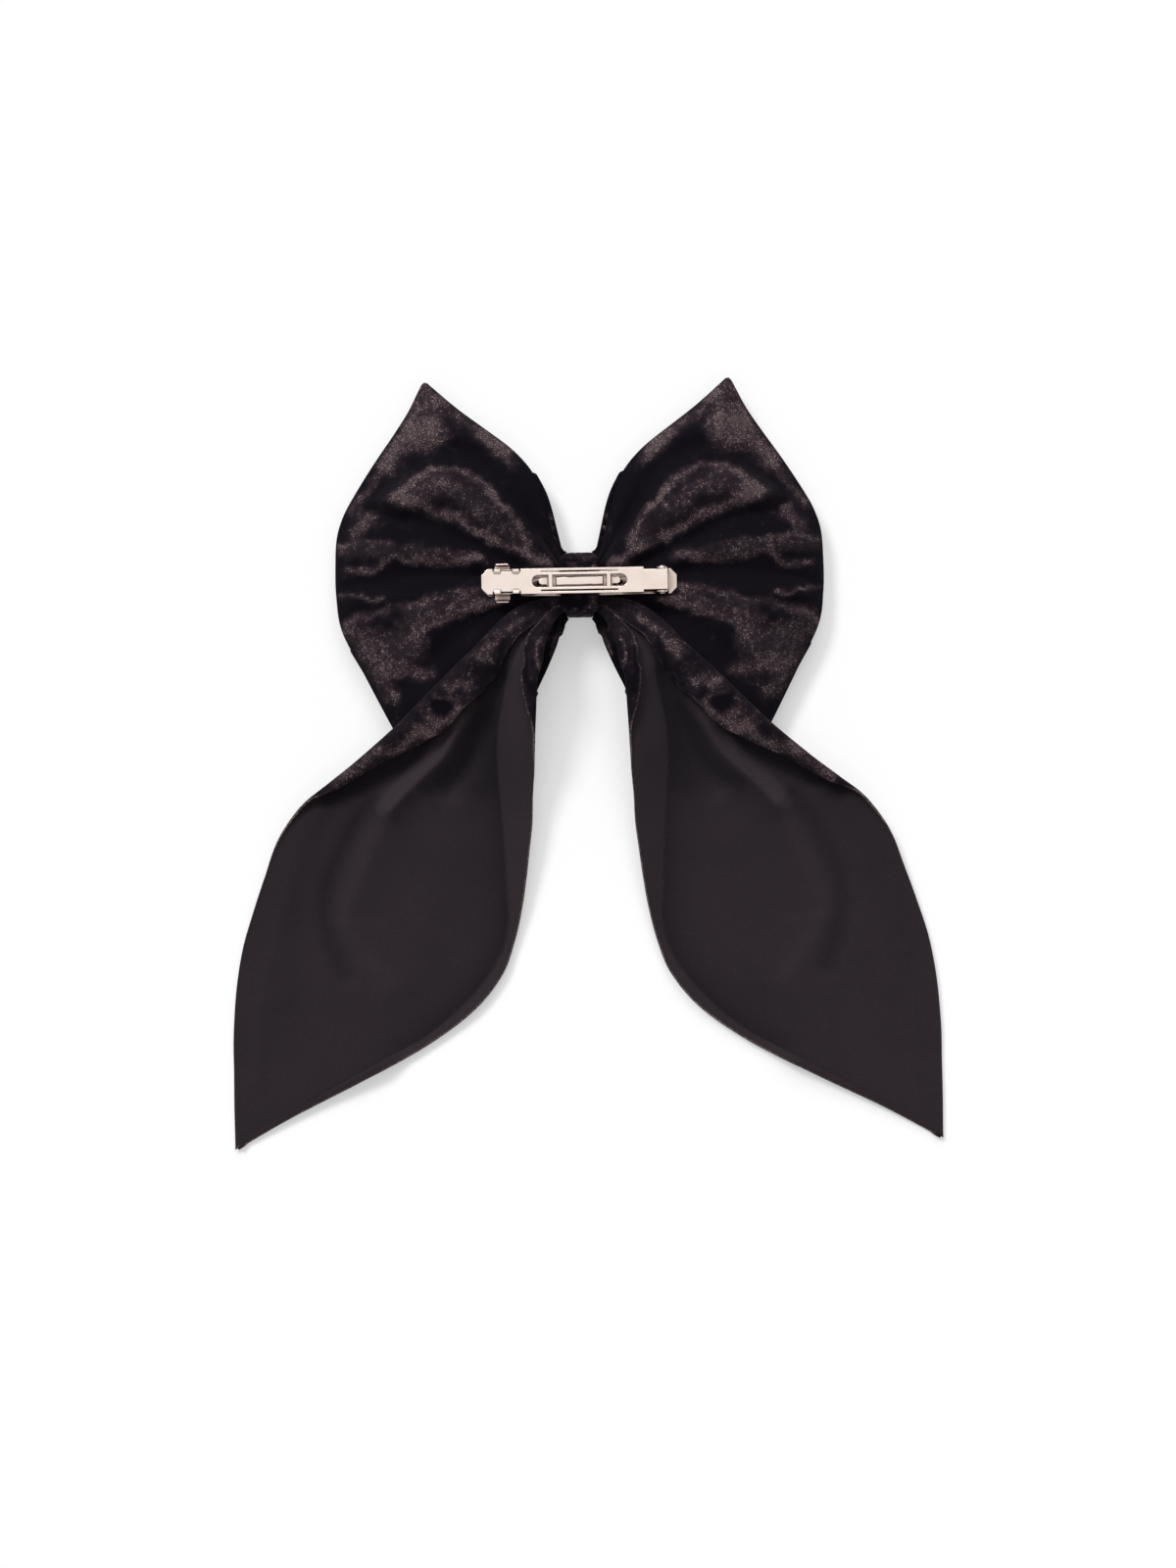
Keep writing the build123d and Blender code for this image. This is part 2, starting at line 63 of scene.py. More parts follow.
Array = np.ndarray
Line = tuple[tuple[float, float], ...]
Colour = tuple[float, float, float]
Triple = tuple[float, float, float]
Finish = bpy.types.Material


# ---------------------------------------------------------------- shapes
class Side(Enum):
    """Which half of the bow a piece is on."""

    RIGHT = 1.0
    LEFT = -1.0


class Face(Enum):
    """Which way a velvet panel faces."""

    BACK = 1.0
    FRONT = -1.0


def smooth_line(points: Array | Line, count: int) -> Array:
    """Curve through points, in cubic spans whose end slopes are half the step between neighbours.

    Args:
        points: the points the curve goes through, one row each.
        count: how many samples to return, evenly spaced in span number.

    Returns:
        The samples, one row each.
    """
    knots = np.asarray(points, float)
    place = np.linspace(0, len(knots) - 1, count)
    span = np.clip(place.astype(int), 0, len(knots) - 2)
    f = (place - span)[:, None]
    padded = np.vstack([2 * knots[0] - knots[1], knots, 2 * knots[-1] - knots[-2]])
    a, b, c, d = (padded[span + k] for k in range(4))
    cubic = (3 * b - a - 3 * c + d) * f**3 + (2 * a - 5 * b + 4 * c - d) * f**2
    return 0.5 * (2 * b + (c - a) * f + cubic)


def even_line(points: Array, count: int) -> Array:
    """The same curve with its samples evenly spaced in length.

    Args:
        points: dense samples of the curve.
        count: how many samples to return.

    Returns:
        The evenly spaced samples.
    """
    run = np.concatenate([[0.0], np.cumsum(np.linalg.norm(np.diff(points, axis=0), axis=1))])
    at = np.linspace(0, run[-1], count)
    return np.stack([np.interp(at, run, points[:, k]) for k in range(points.shape[1])], axis=1)


def nearest(xy: Array, line: Array) -> tuple[Array, Array]:
    """Squared distance to a line of short straight spans, and the side of it that a point is on.

    Args:
        xy: points, with x and y in the last axis.
        line: the line's corners, one row each.

    Returns:
        The squared distances, and 1 on the right-hand side of the line's direction or -1 on
        its left, both in the shape of xy without its last axis.
    """
    best = np.full(xy.shape[:-1], np.inf)
    side = np.ones(xy.shape[:-1])
    for start, end in zip(line[:-1], line[1:]):
        step = end - start
        share = ((xy - start) @ step) / max(float(step @ step), TINY)
        gap = xy - start - np.clip(share, 0, 1)[..., None] * step
        away = np.einsum("...k,...k->...", gap, gap)
        right = (xy[..., 0] - start[0]) * step[1] - (xy[..., 1] - start[1]) * step[0]
        side = np.where(away < best, np.where(right >= 0, 1.0, -1.0), side)
        best = np.minimum(best, away)
    return best, side


def distance_to(xy: Array, line: Array) -> Array:
    """Shortest distance from each point to a line of short straight spans."""
    return np.sqrt(nearest(xy, line)[0])


def signed_distance(xy: Array, line: Array) -> Array:
    """Distance to a line of short spans: positive on the right-hand side of its direction."""
    squared, side = nearest(xy, line)
    return side * np.sqrt(squared)


def splayed(xy: Array) -> Array:
    """Points of the +X half after it is turned outwards about the clip's middle by SPLAY.

    Args:
        xy: points, with x and y in the last axis.

    Returns:
        The turned points.
    """
    x, y = xy[..., 0], xy[..., 1]
    cos, sin = np.cos(SPLAY), np.sin(SPLAY)
    return np.stack([x * cos - y * sin, x * sin + y * cos], axis=-1)


def rounded_square(angle: Array, squareness: float) -> tuple[Array, Array]:
    """Points of the rounded square |y| ** n + |z| ** n = 1, where n is its squareness.

    Each coordinate is the cosine or sine of the angle, raised to 2 / n with its sign kept.

    Args:
        angle: where each point is, round the square.
        squareness: 2 is a circle, and a larger number has tighter corners.

    Returns:
        The y and z of each point.
    """
    cos, sin = np.cos(angle), np.sin(angle)
    power = 2 / squareness
    return np.sign(cos) * np.abs(cos) ** power, np.sign(sin) * np.abs(sin) ** power


def soft_max(a: Array, b: Array | float, blend: float) -> Array:
    """Larger of two values, rounded where they cross: half the sum and half a softened gap."""
    return 0.5 * (a + b + np.sqrt((a - b) ** 2 + blend**2))


def soft_min(a: Array, b: Array | float, blend: float) -> Array:
    """Smaller of two values, rounded where they cross."""
    return 0.5 * (a + b - np.sqrt((a - b) ** 2 + blend**2))


def rolling_noise(x: Array, y: Array, size: float, seed: int) -> Array:
    """Smooth random field from -1 to 1: random lattice values blended by an eased share.

    Args:
        x: first coordinate.
        y: second coordinate.
        size: lattice step, in the unit of x and y.
        seed: seed of the lattice.

    Returns:
        The field at each point.
    """
    lattice = np.random.default_rng(seed).uniform(-1, 1, (LATTICE, LATTICE))
    gx, gy = x / size + LATTICE / 2, y / size + LATTICE / 2
    ix, iy = np.floor(gx).astype(int), np.floor(gy).astype(int)
    fx, fy = gx - ix, gy - iy
    fx, fy = fx * fx * (3 - 2 * fx), fy * fy * (3 - 2 * fy)
    left, right = ix % LATTICE, (ix + 1) % LATTICE
    low, high = iy % LATTICE, (iy + 1) % LATTICE
    near = lattice[left, low] * (1 - fx) + lattice[right, low] * fx
    far = lattice[left, high] * (1 - fx) + lattice[right, high] * fx
    return near * (1 - fy) + far * fy


def crumpled(xy: Array, amount: float, seed: int) -> Array:
    """Points moved by three sizes of rolling noise, so that what is drawn there gets ragged edges.

    Args:
        xy: points, with x and y in the last axis.
        amount: how far the largest noise can move a point.
        seed: the number before the first lattice's seed.

    Returns:
        The moved points.
    """
    moved = xy.copy()
    for size, share in RAGGED:
        for axis in (0, 1):
            seed += 1
            moved[..., axis] += amount * share * rolling_noise(xy[..., 0], xy[..., 1], size, seed)
    return moved


@dataclass(frozen=True)
class Stroke:
    """A bell-shaped band along a line: strength times exp(-(distance / width) ** power).

    It is a fold where it changes height. Where it changes the colour, it is a band of painted light
    and shade, which on velvet also follows its pressed pile.
    """

    path: Line
    width: float
    strength: float
    power: float = 2.0

    def at(self, xy: Array) -> Array:
        """Value of the band at each point."""
        away = distance_to(xy, smooth_line(self.path, 6 * len(self.path)))
        return self.strength * np.exp(-((away / self.width) ** self.power))


def strokes_at(strokes: tuple[Stroke, ...], xy: Array) -> Array:
    """Sum of several bands at each point.

    Args:
        strokes: the bands.
        xy: points, with x and y in the last axis.

    Returns:
        The sum, in the shape of xy without its last axis.
    """
    total = np.zeros(xy.shape[:-1])
    for stroke in strokes:
        total += stroke.at(xy)
    return total


def grid_faces(rows: int, cols: int, close_rows: bool, close_cols: bool, flip: bool) -> Array:
    """Quads of a grid of points, numbered row by row.

    Args:
        rows: number of rows.
        cols: number of points in a row.
        close_rows: join the last row to the first.
        close_cols: join each row's last point to its first.
        flip: turn every face over.

    Returns:
        Four point numbers for each quad.
    """
    i = np.arange(rows if close_rows else rows - 1)[:, None]
    j = np.arange(cols if close_cols else cols - 1)[None, :]
    near, far = i * cols, ((i + 1) % rows) * cols
    left, right = j, (j + 1) % cols
    quads = np.stack([near + left, far + left, far + right, near + right], axis=-1).reshape(-1, 4)
    return quads[:, ::-1] if flip else quads


def surface(
    name: str,
    points: Array,
    flip: bool = False,
    close_rows: bool = False,
    close_cols: bool = False,
    uv: Array | None = None,
    pile_and_painted_light: Array | None = None,
) -> bpy.types.Object:
    """Object whose mesh is a grid of points.

    Args:
        name: the piece's name.
        points: grid of points, in millimetres.
        flip: turn every face over.
        close_rows: join the last row to the first.
        close_cols: join each row's last point to its first.
        uv: flat position of each point on the cloth, in millimetres.
        pile_and_painted_light: pressed pile with painted light and shade at each point, 0 to 1.

    Returns:
        The new object, at the origin.
    """
    rows, cols = points.shape[:2]
    faces = grid_faces(rows, cols, close_rows, close_cols, flip)
    mesh = bpy.data.meshes.new(name)
    mesh.from_pydata((points.reshape(-1, 3) * MM).tolist(), [], faces.tolist())
    mesh.polygons.foreach_set("use_smooth", np.ones(len(mesh.polygons), dtype=bool))
    if uv is not None:
        corner = np.zeros(len(mesh.loops), dtype=np.int32)
        mesh.loops.foreach_get("vertex_index", corner)
        layer = mesh.uv_layers.new(name="cloth")
        layer.data.foreach_set("uv", uv.reshape(-1, 2)[corner].ravel())
    if pile_and_painted_light is not None:
        layer = mesh.attributes.new("pile_and_painted_light", "FLOAT", "POINT")
        layer.data.foreach_set("value", np.clip(pile_and_painted_light, 0, 1).ravel().astype(np.float32))
    mesh.update()
    mesh.validate()
    obj = bpy.data.objects.new(name, mesh)
    bpy.context.collection.objects.link(obj)
    return obj


def thicken(obj: bpy.types.Object, wall: float, inner_slot: int = 0, rim_slot: int = 0) -> None:
    """Gives a sheet its wall, on the side its faces turn away from.

    Args:
        obj: the sheet.
        wall: thickness, in millimetres.
        inner_slot: how many material slots on the far side's material is.
        rim_slot: how many material slots on the edge's material is.
    """
    solid = obj.modifiers.new("wall", "SOLIDIFY")
    solid.thickness = wall * MM
    solid.offset = -1.0
    solid.use_even_offset = False
    solid.material_offset = inner_slot
    solid.material_offset_rim = rim_slot


def settle(obj: bpy.types.Object, node: str) -> None:
    """Puts a finished piece on the bow in the place of its CAD node.

    Args:
        obj: the piece.
        node: the CAD node that it stands for.
    """
    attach(obj, "bow")
    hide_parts(node)
    log.info("%s: %d faces", obj.name, len(obj.data.polygons))


# ---------------------------------------------------------------- shader maths
class Value:
    """A shader output that can be used in a Python expression; each operator adds a Math node."""

    def __init__(self, nodes: "Nodes", socket: bpy.types.NodeSocket) -> None:
        """Keeps the tree that new nodes go to, and the output."""
        self.nodes = nodes
        self.socket = socket

    def _math(self, operation: str, a: "Value | float", b: "Value | float") -> "Value":
        """Result of one Math node on a and b."""
        node = self.nodes.add("ShaderNodeMath", {"operation": operation}, {0: a, 1: b})
        return Value(self.nodes, node.outputs[0])

    def __add__(self, other: "Value | float") -> "Value":
        """This value plus the other."""
        return self._math("ADD", self, other)

    def __radd__(self, other: float) -> "Value":
        """The other plus this value."""
        return self._math("ADD", other, self)

    def __sub__(self, other: "Value | float") -> "Value":
        """This value less the other."""
        return self._math("SUBTRACT", self, other)

    def __rsub__(self, other: float) -> "Value":
        """The other less this value."""
        return self._math("SUBTRACT", other, self)

    def __mul__(self, other: "Value | float") -> "Value":
        """This value times the other."""
        return self._math("MULTIPLY", self, other)

    def __rmul__(self, other: float) -> "Value":
        """The other times this value."""
        return self._math("MULTIPLY", other, self)

    def eased(self, low: float, high: float) -> "Value":
        """0 below low, 1 above high, and an S-shaped rise between them."""
        inputs = {"Value": self, "From Min": low, "From Max": high}
        return self.nodes.mapped(inputs)


class Nodes:
    """The nodes of one material or world."""

    def __init__(self, tree: bpy.types.NodeTree) -> None:
        """Keeps the tree."""
        self.tree = tree

    def add(self, kind: str, settings: dict, inputs: dict) -> bpy.types.Node:
        """Adds a node.

        Args:
            kind: the node's type.
            settings: properties, set first.
            inputs: a value, or a link's source, for each input's name or number.

        Returns:
            The node.
        """
        node = self.tree.nodes.new(kind)
        for key, value in settings.items():
            setattr(node, key, value)
        for key, value in inputs.items():
            source = value.socket if isinstance(value, Value) else value
            if isinstance(source, bpy.types.NodeSocket):
                self.tree.links.new(source, node.inputs[key])
            else:
                node.inputs[key].default_value = source
        return node

    def mapped(self, inputs: dict) -> Value:
        """A value carried from one range to another by an S-shaped rise."""
        node = self.add("ShaderNodeMapRange", {"interpolation_type": "SMOOTHSTEP"}, inputs)
        return Value(self, node.outputs["Result"])

    def ray(self, kind: str) -> Value:
        """1 for one kind of ray, and 0 for the others."""
        return Value(self, self.add("ShaderNodeLightPath", {}, {}).outputs[kind])


class Book(Nodes):
    """One material and the nodes in it."""

    def __init__(self, name: str) -> None:
        """Starts a material.

        Args:
            name: the material's name.
        """
        self.material = bpy.data.materials.new(name)
        self.material.use_nodes = True
        super().__init__(self.material.node_tree)
        self.tree.nodes.clear()
        self.output = self.add("ShaderNodeOutputMaterial", {}, {})

    def place(self) -> bpy.types.NodeSocket:
        """Object coordinates, in metres."""
        return self.add("ShaderNodeTexCoord", {}, {}).outputs["Object"]

    def turned(self, at: bpy.types.NodeSocket, **how: Triple) -> bpy.types.NodeSocket:
        """Coordinates after a Mapping node has turned or stretched them."""
        return self.add("ShaderNodeMapping", {}, {"Vector": at, **how}).outputs[0]

    def pile_and_painted_light_at(self) -> Value:
        """Pressed pile with painted light and shade, stored on the mesh, 0 to 1."""
        node = self.add("ShaderNodeAttribute", {"attribute_name": "pile_and_painted_light"}, {})
        return Value(self, node.outputs["Fac"])

    def noise(
        self, at: bpy.types.NodeSocket, grain: float, detail: float = 2.0, rough: float = 0.5
    ) -> Value:
        """Noise whose marks are about grain across, in the unit of the coordinates."""
        inputs = {"Vector": at, "Scale": 1 / grain, "Detail": detail, "Roughness": rough}
        return Value(self, self.add("ShaderNodeTexNoise", {}, inputs).outputs[0])

    def ridges(self, at: bpy.types.NodeSocket, direction: str, scale: float) -> Value:
        """Even ridges: about three times scale of them in one unit of the coordinates."""
        settings = {"bands_direction": direction}
        node = self.add("ShaderNodeTexWave", settings, {"Vector": at, "Scale": scale})
        return Value(self, node.outputs[1])

    def blend(
        self, share: Value | float, a: Colour | bpy.types.NodeSocket, b: Colour
    ) -> bpy.types.NodeSocket:
        """Mixes two colours.

        Args:
            share: how much of b, 0 to 1.
            a: the first colour, or where it comes from.
            b: the second colour.

        Returns:
            The mix.
        """
        first = (*a, 1.0) if isinstance(a, tuple) else a
        settings = {"data_type": "RGBA", "clamp_factor": True}
        node = self.add("ShaderNodeMix", settings, {0: share, 6: first, 7: (*b, 1.0)})
        return node.outputs[2]

    def bump(
        self,
        height: Value,
        depth: float,
        strength: float,
        base: bpy.types.NodeSocket | None = None,
    ) -> bpy.types.NodeSocket:
        """Bumps on the surface.

        Args:
            height: height of the bumps, 0 to 1.
            depth: what a height of 1 stands for, in millimetres.
            strength: how much of the bumps shows.
            base: the normal that they are added to.

        Returns:
            The new normal.
        """
        inputs = {"Height": height, "Distance": depth * MM, "Strength": strength}
        if base is not None:
            inputs["Normal"] = base
        return self.add("ShaderNodeBump", {}, inputs).outputs["Normal"]

    def end(self, shader: bpy.types.Node) -> Finish:
        """Ends the material with a shader."""
        self.tree.links.new(shader.outputs[0], self.output.inputs["Surface"])
        return self.material

    def principled(self, inputs: dict) -> Finish:
        """Ends the material with a Principled shader."""
        return self.end(self.add("ShaderNodeBsdfPrincipled", {}, inputs))


@dataclass(frozen=True)
class CrushedVelvet:
    """Dark pile pressed in patches: painted sheen where it is pressed to the light, and painted
    glints.

    The sizes of the marks are in metres.
    """

    name: str
    # The deep colour is the pile's own. The body, lit and glint colours are painted sheen and
    # painted glints.
    deep: Colour = (0.0034, 0.0025, 0.0052)
    body: Colour = (0.0245, 0.0165, 0.0215)
    lit: Colour = (0.078, 0.053, 0.058)
    painted_glint: Colour = (0.34, 0.25, 0.25)
    crush_size: float = 0.0055
    press_size: float = 0.0019
    grain_size: float = 0.00046

    def build(self) -> Finish:
        """Makes the material.

        Returns:
            The material.
        """
        book = Book(self.name)
        at = book.place()
        pile_and_painted_light = book.pile_and_painted_light_at()
        crush = book.noise(at, self.crush_size, 4.0, 0.60) - 0.5
        press = book.noise(at, self.press_size, 3.0, 0.65) - 0.5
        grain = book.noise(at, self.grain_size, 3.0, 0.70)
        # Masks of painted sheen over the pressed pile: soft gives the plum body, and rough gives
        # painted highlights and glints.
        soft = pile_and_painted_light + crush * 0.55 + press * 0.40 + (grain - 0.5) * 0.35
        rough = pile_and_painted_light + crush * 1.10 + press * 1.20 + (grain - 0.5) * 1.50
        painted_highlight = rough.eased(0.44, 1.05)
        glint = grain.eased(0.550, 0.655) * rough.eased(0.56, 0.96)
        colour = book.blend(soft.eased(0.08, 0.62), self.deep, self.body)
        colour = book.blend(painted_highlight * 0.80, colour, self.lit)
        colour = book.blend(glint * 0.85, colour, self.painted_glint)
        return book.principled(
            {
                "Base Color": colour,
                "Roughness": 0.90 - painted_highlight * 0.22,
                "Normal": book.bump(grain * 0.65 + press * 0.35, 0.40, 0.55),
                "Specular IOR Level": 0.08,
                "Sheen Weight": 0.03,
                "Sheen Roughness": 0.45,
                "Sheen Tint": (0.75, 0.60, 0.64, 1.0),
            }
        )


@dataclass(frozen=True)
class KnitBack:
    """Matt reverse of the velvet: a fine knit, paler in painted light and darker in painted shade.

    The mottle and the yarn are in metres. Columns and rows are the knit's, on the flat cloth.
    """

    name: str
    shade: Colour = (0.0078, 0.0060, 0.0090)
    pale: Colour = (0.0395, 0.0292, 0.0345)
    mottle_size: float = 0.018
    yarn_size: float = 0.00060
    columns: float = 1.1
    rows: float = 0.9

    def build(self) -> Finish:
        """Makes the material.

        Returns:
            The material.
        """
        book = Book(self.name)
        at = book.place()
        cloth = book.add("ShaderNodeUVMap", {"uv_map": "cloth"}, {}).outputs["UV"]
        mottle = book.noise(at, self.mottle_size)
        yarn = book.noise(at, self.yarn_size, 2.0, 0.6)
        knit = book.ridges(cloth, "X", self.columns) * 0.5
        knit = knit + book.ridges(cloth, "Y", self.rows) * 0.5
        # Painted light and shade from the mesh, with a little of the knit's own mottle, yarn and
        # stitches.
        share = book.pile_and_painted_light_at() + (mottle - 0.5) * 0.10 + (yarn - 0.5) * 0.42 + (knit - 0.5) * 0.10
        return book.principled(
            {
                "Base Color": book.blend(share.eased(-0.15, 1.15), self.shade, self.pale),
                "Roughness": 0.97 - mottle * 0.06,
                "Normal": book.bump(knit * 0.6 + yarn * 0.4, 0.10, 0.45),
                "Specular IOR Level": 0.10,
                "Sheen Weight": 0.03,
                "Sheen Roughness": 0.6,
            }
        )


@dataclass(frozen=True)
class CutEdge:
    """Raw cut edge: backing threads with pile tufts between them."""

    name: str
    dark: Colour = (0.030, 0.022, 0.024)
    thread: Colour = (0.30, 0.23, 0.225)
    tuft_size: float = 0.00045

    def build(self) -> Finish:
        """Makes the material.

        Returns:
            The material.
        """
        book = Book(self.name)
        tuft = book.noise(book.place(), self.tuft_size, 2.0, 0.7)
        return book.principled(
            {
                "Base Color": book.blend(tuft.eased(0.42, 0.66), self.dark, self.thread),
                "Roughness": 0.95 - tuft * 0.1,
                "Normal": book.bump(tuft, 0.25, 0.7),
                "Specular IOR Level": 0.1,
            }
        )


@dataclass(frozen=True)
class PlatedMetal:
    """Polished warm nickel plate: a little wavy, with rounded edges and brown painted shade in
    corners.

    Marks are in metres. The edge's radius and how far the painted corner shade reaches are in
    millimetres.
    """

    name: str
    bright: Colour = (0.82, 0.71, 0.645)
    warm: Colour = (0.66, 0.52, 0.455)
    painted_corner_shade: Colour = (0.078, 0.029, 0.023)
    gloss: float = 0.09
    edge_radius: float = 0.28
    painted_shade_reach: float = 6.0
    cloud_size: float = 0.0095
    rolled_size: float = 0.00028
    rolled_stretch: Triple = (0.12, 1.0, 1.0)

    def build(self) -> Finish:
        """Makes the material.

        Returns:
            The material.
        """
        book = Book(self.name)
        at = book.place()
        cloud = book.noise(at, self.cloud_size)
        rolled = book.noise(book.turned(at, Scale=self.rolled_stretch), self.rolled_size, 2.0, 0.6)
        radius = {"Radius": self.edge_radius * MM}
        rounded = book.add("ShaderNodeBevel", {"samples": 6}, radius).outputs[0]
        wavy = book.bump(cloud, 0.9, 0.6, rounded)
        # Painted shade: ambient occlusion darkens corners, slots and the plate under the arm
        # towards brown.
        reach = {"Distance": self.painted_shade_reach * MM}
        corner = book.add("ShaderNodeAmbientOcclusion", {"samples": 8}, reach)
        open_sky = Value(book, corner.outputs["AO"])
        colour = book.blend(cloud.eased(0.45, 0.85) * 0.5, self.bright, self.warm)
        return book.principled(
            {
                "Base Color": book.blend(1 - open_sky.eased(0.36, 0.93), colour, self.painted_corner_shade),
                "Metallic": 1.0,
                "Roughness": self.gloss + cloud * 0.06 + rolled * 0.04,
                "Normal": book.bump(rolled, 0.012, 0.25, wavy),
            }
        )


@dataclass(frozen=True)
class SewingThread:
    """Two-ply thread: dark, with slanting plies and a slight gloss."""

    name: str
    dark: Colour = (0.008, 0.006, 0.008)
    pale: Colour = (0.045, 0.036, 0.038)
    slant: Triple = (0.6, 0.5, 0.9)
    plies: float = 900.0
    fuzz_size: float = 0.00015

    def build(self) -> Finish:
        """Makes the material.

        Returns:
            The material.
        """
        book = Book(self.name)
        at = book.place()
        ply = book.ridges(book.turned(at, Rotation=self.slant), "DIAGONAL", self.plies)
        fuzz = book.noise(at, self.fuzz_size, 2.0, 0.6)
        return book.principled(
            {
                "Base Color": book.blend(ply * 0.7 + fuzz * 0.3, self.dark, self.pale),
                "Roughness": 0.72 + fuzz * 0.15,
                "Normal": book.bump(ply, 0.08, 0.6),
                "Specular IOR Level": 0.25,
            }
        )


@dataclass(frozen=True)
class Nonwoven:
    """Stiff sheet of pressed fibres."""

    name: str
    dark: Colour = (0.020, 0.018, 0.020)
    pale: Colour = (0.070, 0.064, 0.068)
    fibre_size: float = 0.0009
    cloud_size: float = 0.006

    def build(self) -> Finish:
        """Makes the material.

        Returns:
            The material.
        """
        book = Book(self.name)
        at = book.place()
        fibre = book.noise(at, self.fibre_size, 4.0, 0.75)
        cloud = book.noise(at, self.cloud_size)
        return book.principled(
            {
                "Base Color": book.blend(fibre * 0.6 + cloud * 0.4, self.dark, self.pale),
                "Roughness": 0.9 + fibre * 0.08,
                "Normal": book.bump(fibre, 0.15, 0.5),
                "Specular IOR Level": 0.15,
            }
        )


@dataclass(frozen=True)
class PaleFloor:
    """White sweep that keeps the object's shadow."""

    name: str
    paper: Colour = (0.96, 0.96, 0.96)
    glow: float = 1.09
    own_light: float = 0.36

    def build(self) -> Finish:
        """Makes the material: matt white, and what the camera sees is partly an even white.

        Returns:
            The material.
        """
        book = Book(self.name)
        paper = book.add("ShaderNodeBsdfDiffuse", {}, {"Color": (*self.paper, 1.0)})
        lit = {"Color": (1.0, 1.0, 1.0, 1.0), "Strength": self.glow}
        glow = book.add("ShaderNodeEmission", {}, lit)
        share = (book.ray("Is Camera Ray") + book.ray("Is Glossy Ray")) * self.own_light
        inputs = {0: share, 1: paper.outputs[0], 2: glow.outputs[0]}
        return book.end(book.add("ShaderNodeMixShader", {}, inputs))


# ---------------------------------------------------------------- velvet loops
BACK_FOLDS = (
    Stroke(
        ((58, 25.5), (48, 29), (38.3, 28), (30, 23), (23, 17.5), (16, 10.5), (9, 6)),
        5.2, 3.0, 3.0,
    ),
    Stroke(((64, 22), (50, 18.8), (43, 16.3), (34, 11.8), (27.5, 8.6), (18, 5)), 2.6, -2.0),
    Stroke(((76, 10.5), (67, 9.5), (58, 9.8), (50, 9.6), (40, 8.8), (32, 7.4)), 3.0, 1.9, 2.6),
    Stroke(((76, -1.5), (60, 1.2), (48, 2.6), (38, 2.2), (31, 1.8)), 2.8, -1.7),
    Stroke(((76, -4.2), (66, -5.4), (55, -5.0), (47, -3.6), (38, -2.2), (31, -1.8)), 1.7, 1.1),
    Stroke(((74, -9), (62, -8)), 1.6, -1.0),
    Stroke(
        ((74, -14), (62, -13), (52, -10.6), (45, -9), (38, -8), (30, -6.2), (22, -5)),
        3.0, 1.7, 2.6,
    ),
    Stroke(((68, -25), (56, -21), (48, -17)), 6.0, 1.2),
    Stroke(((52, -30), (42, -20), (33, -13.5), (24, -8.5)), 4.0, -1.8),
    Stroke(
        ((63, 31), (55, 37.5), (44, 41.5), (34, 40.5), (27, 36), (20, 28), (14.5, 18)),
        3.4, -1.8,
    ),
    Stroke(((52, 50), (44, 48.5), (34, 46)), 4.0, 1.0),
    Stroke(((18, 29), (13.5, 20), (10, 12)), 2.4, 0.7),
)
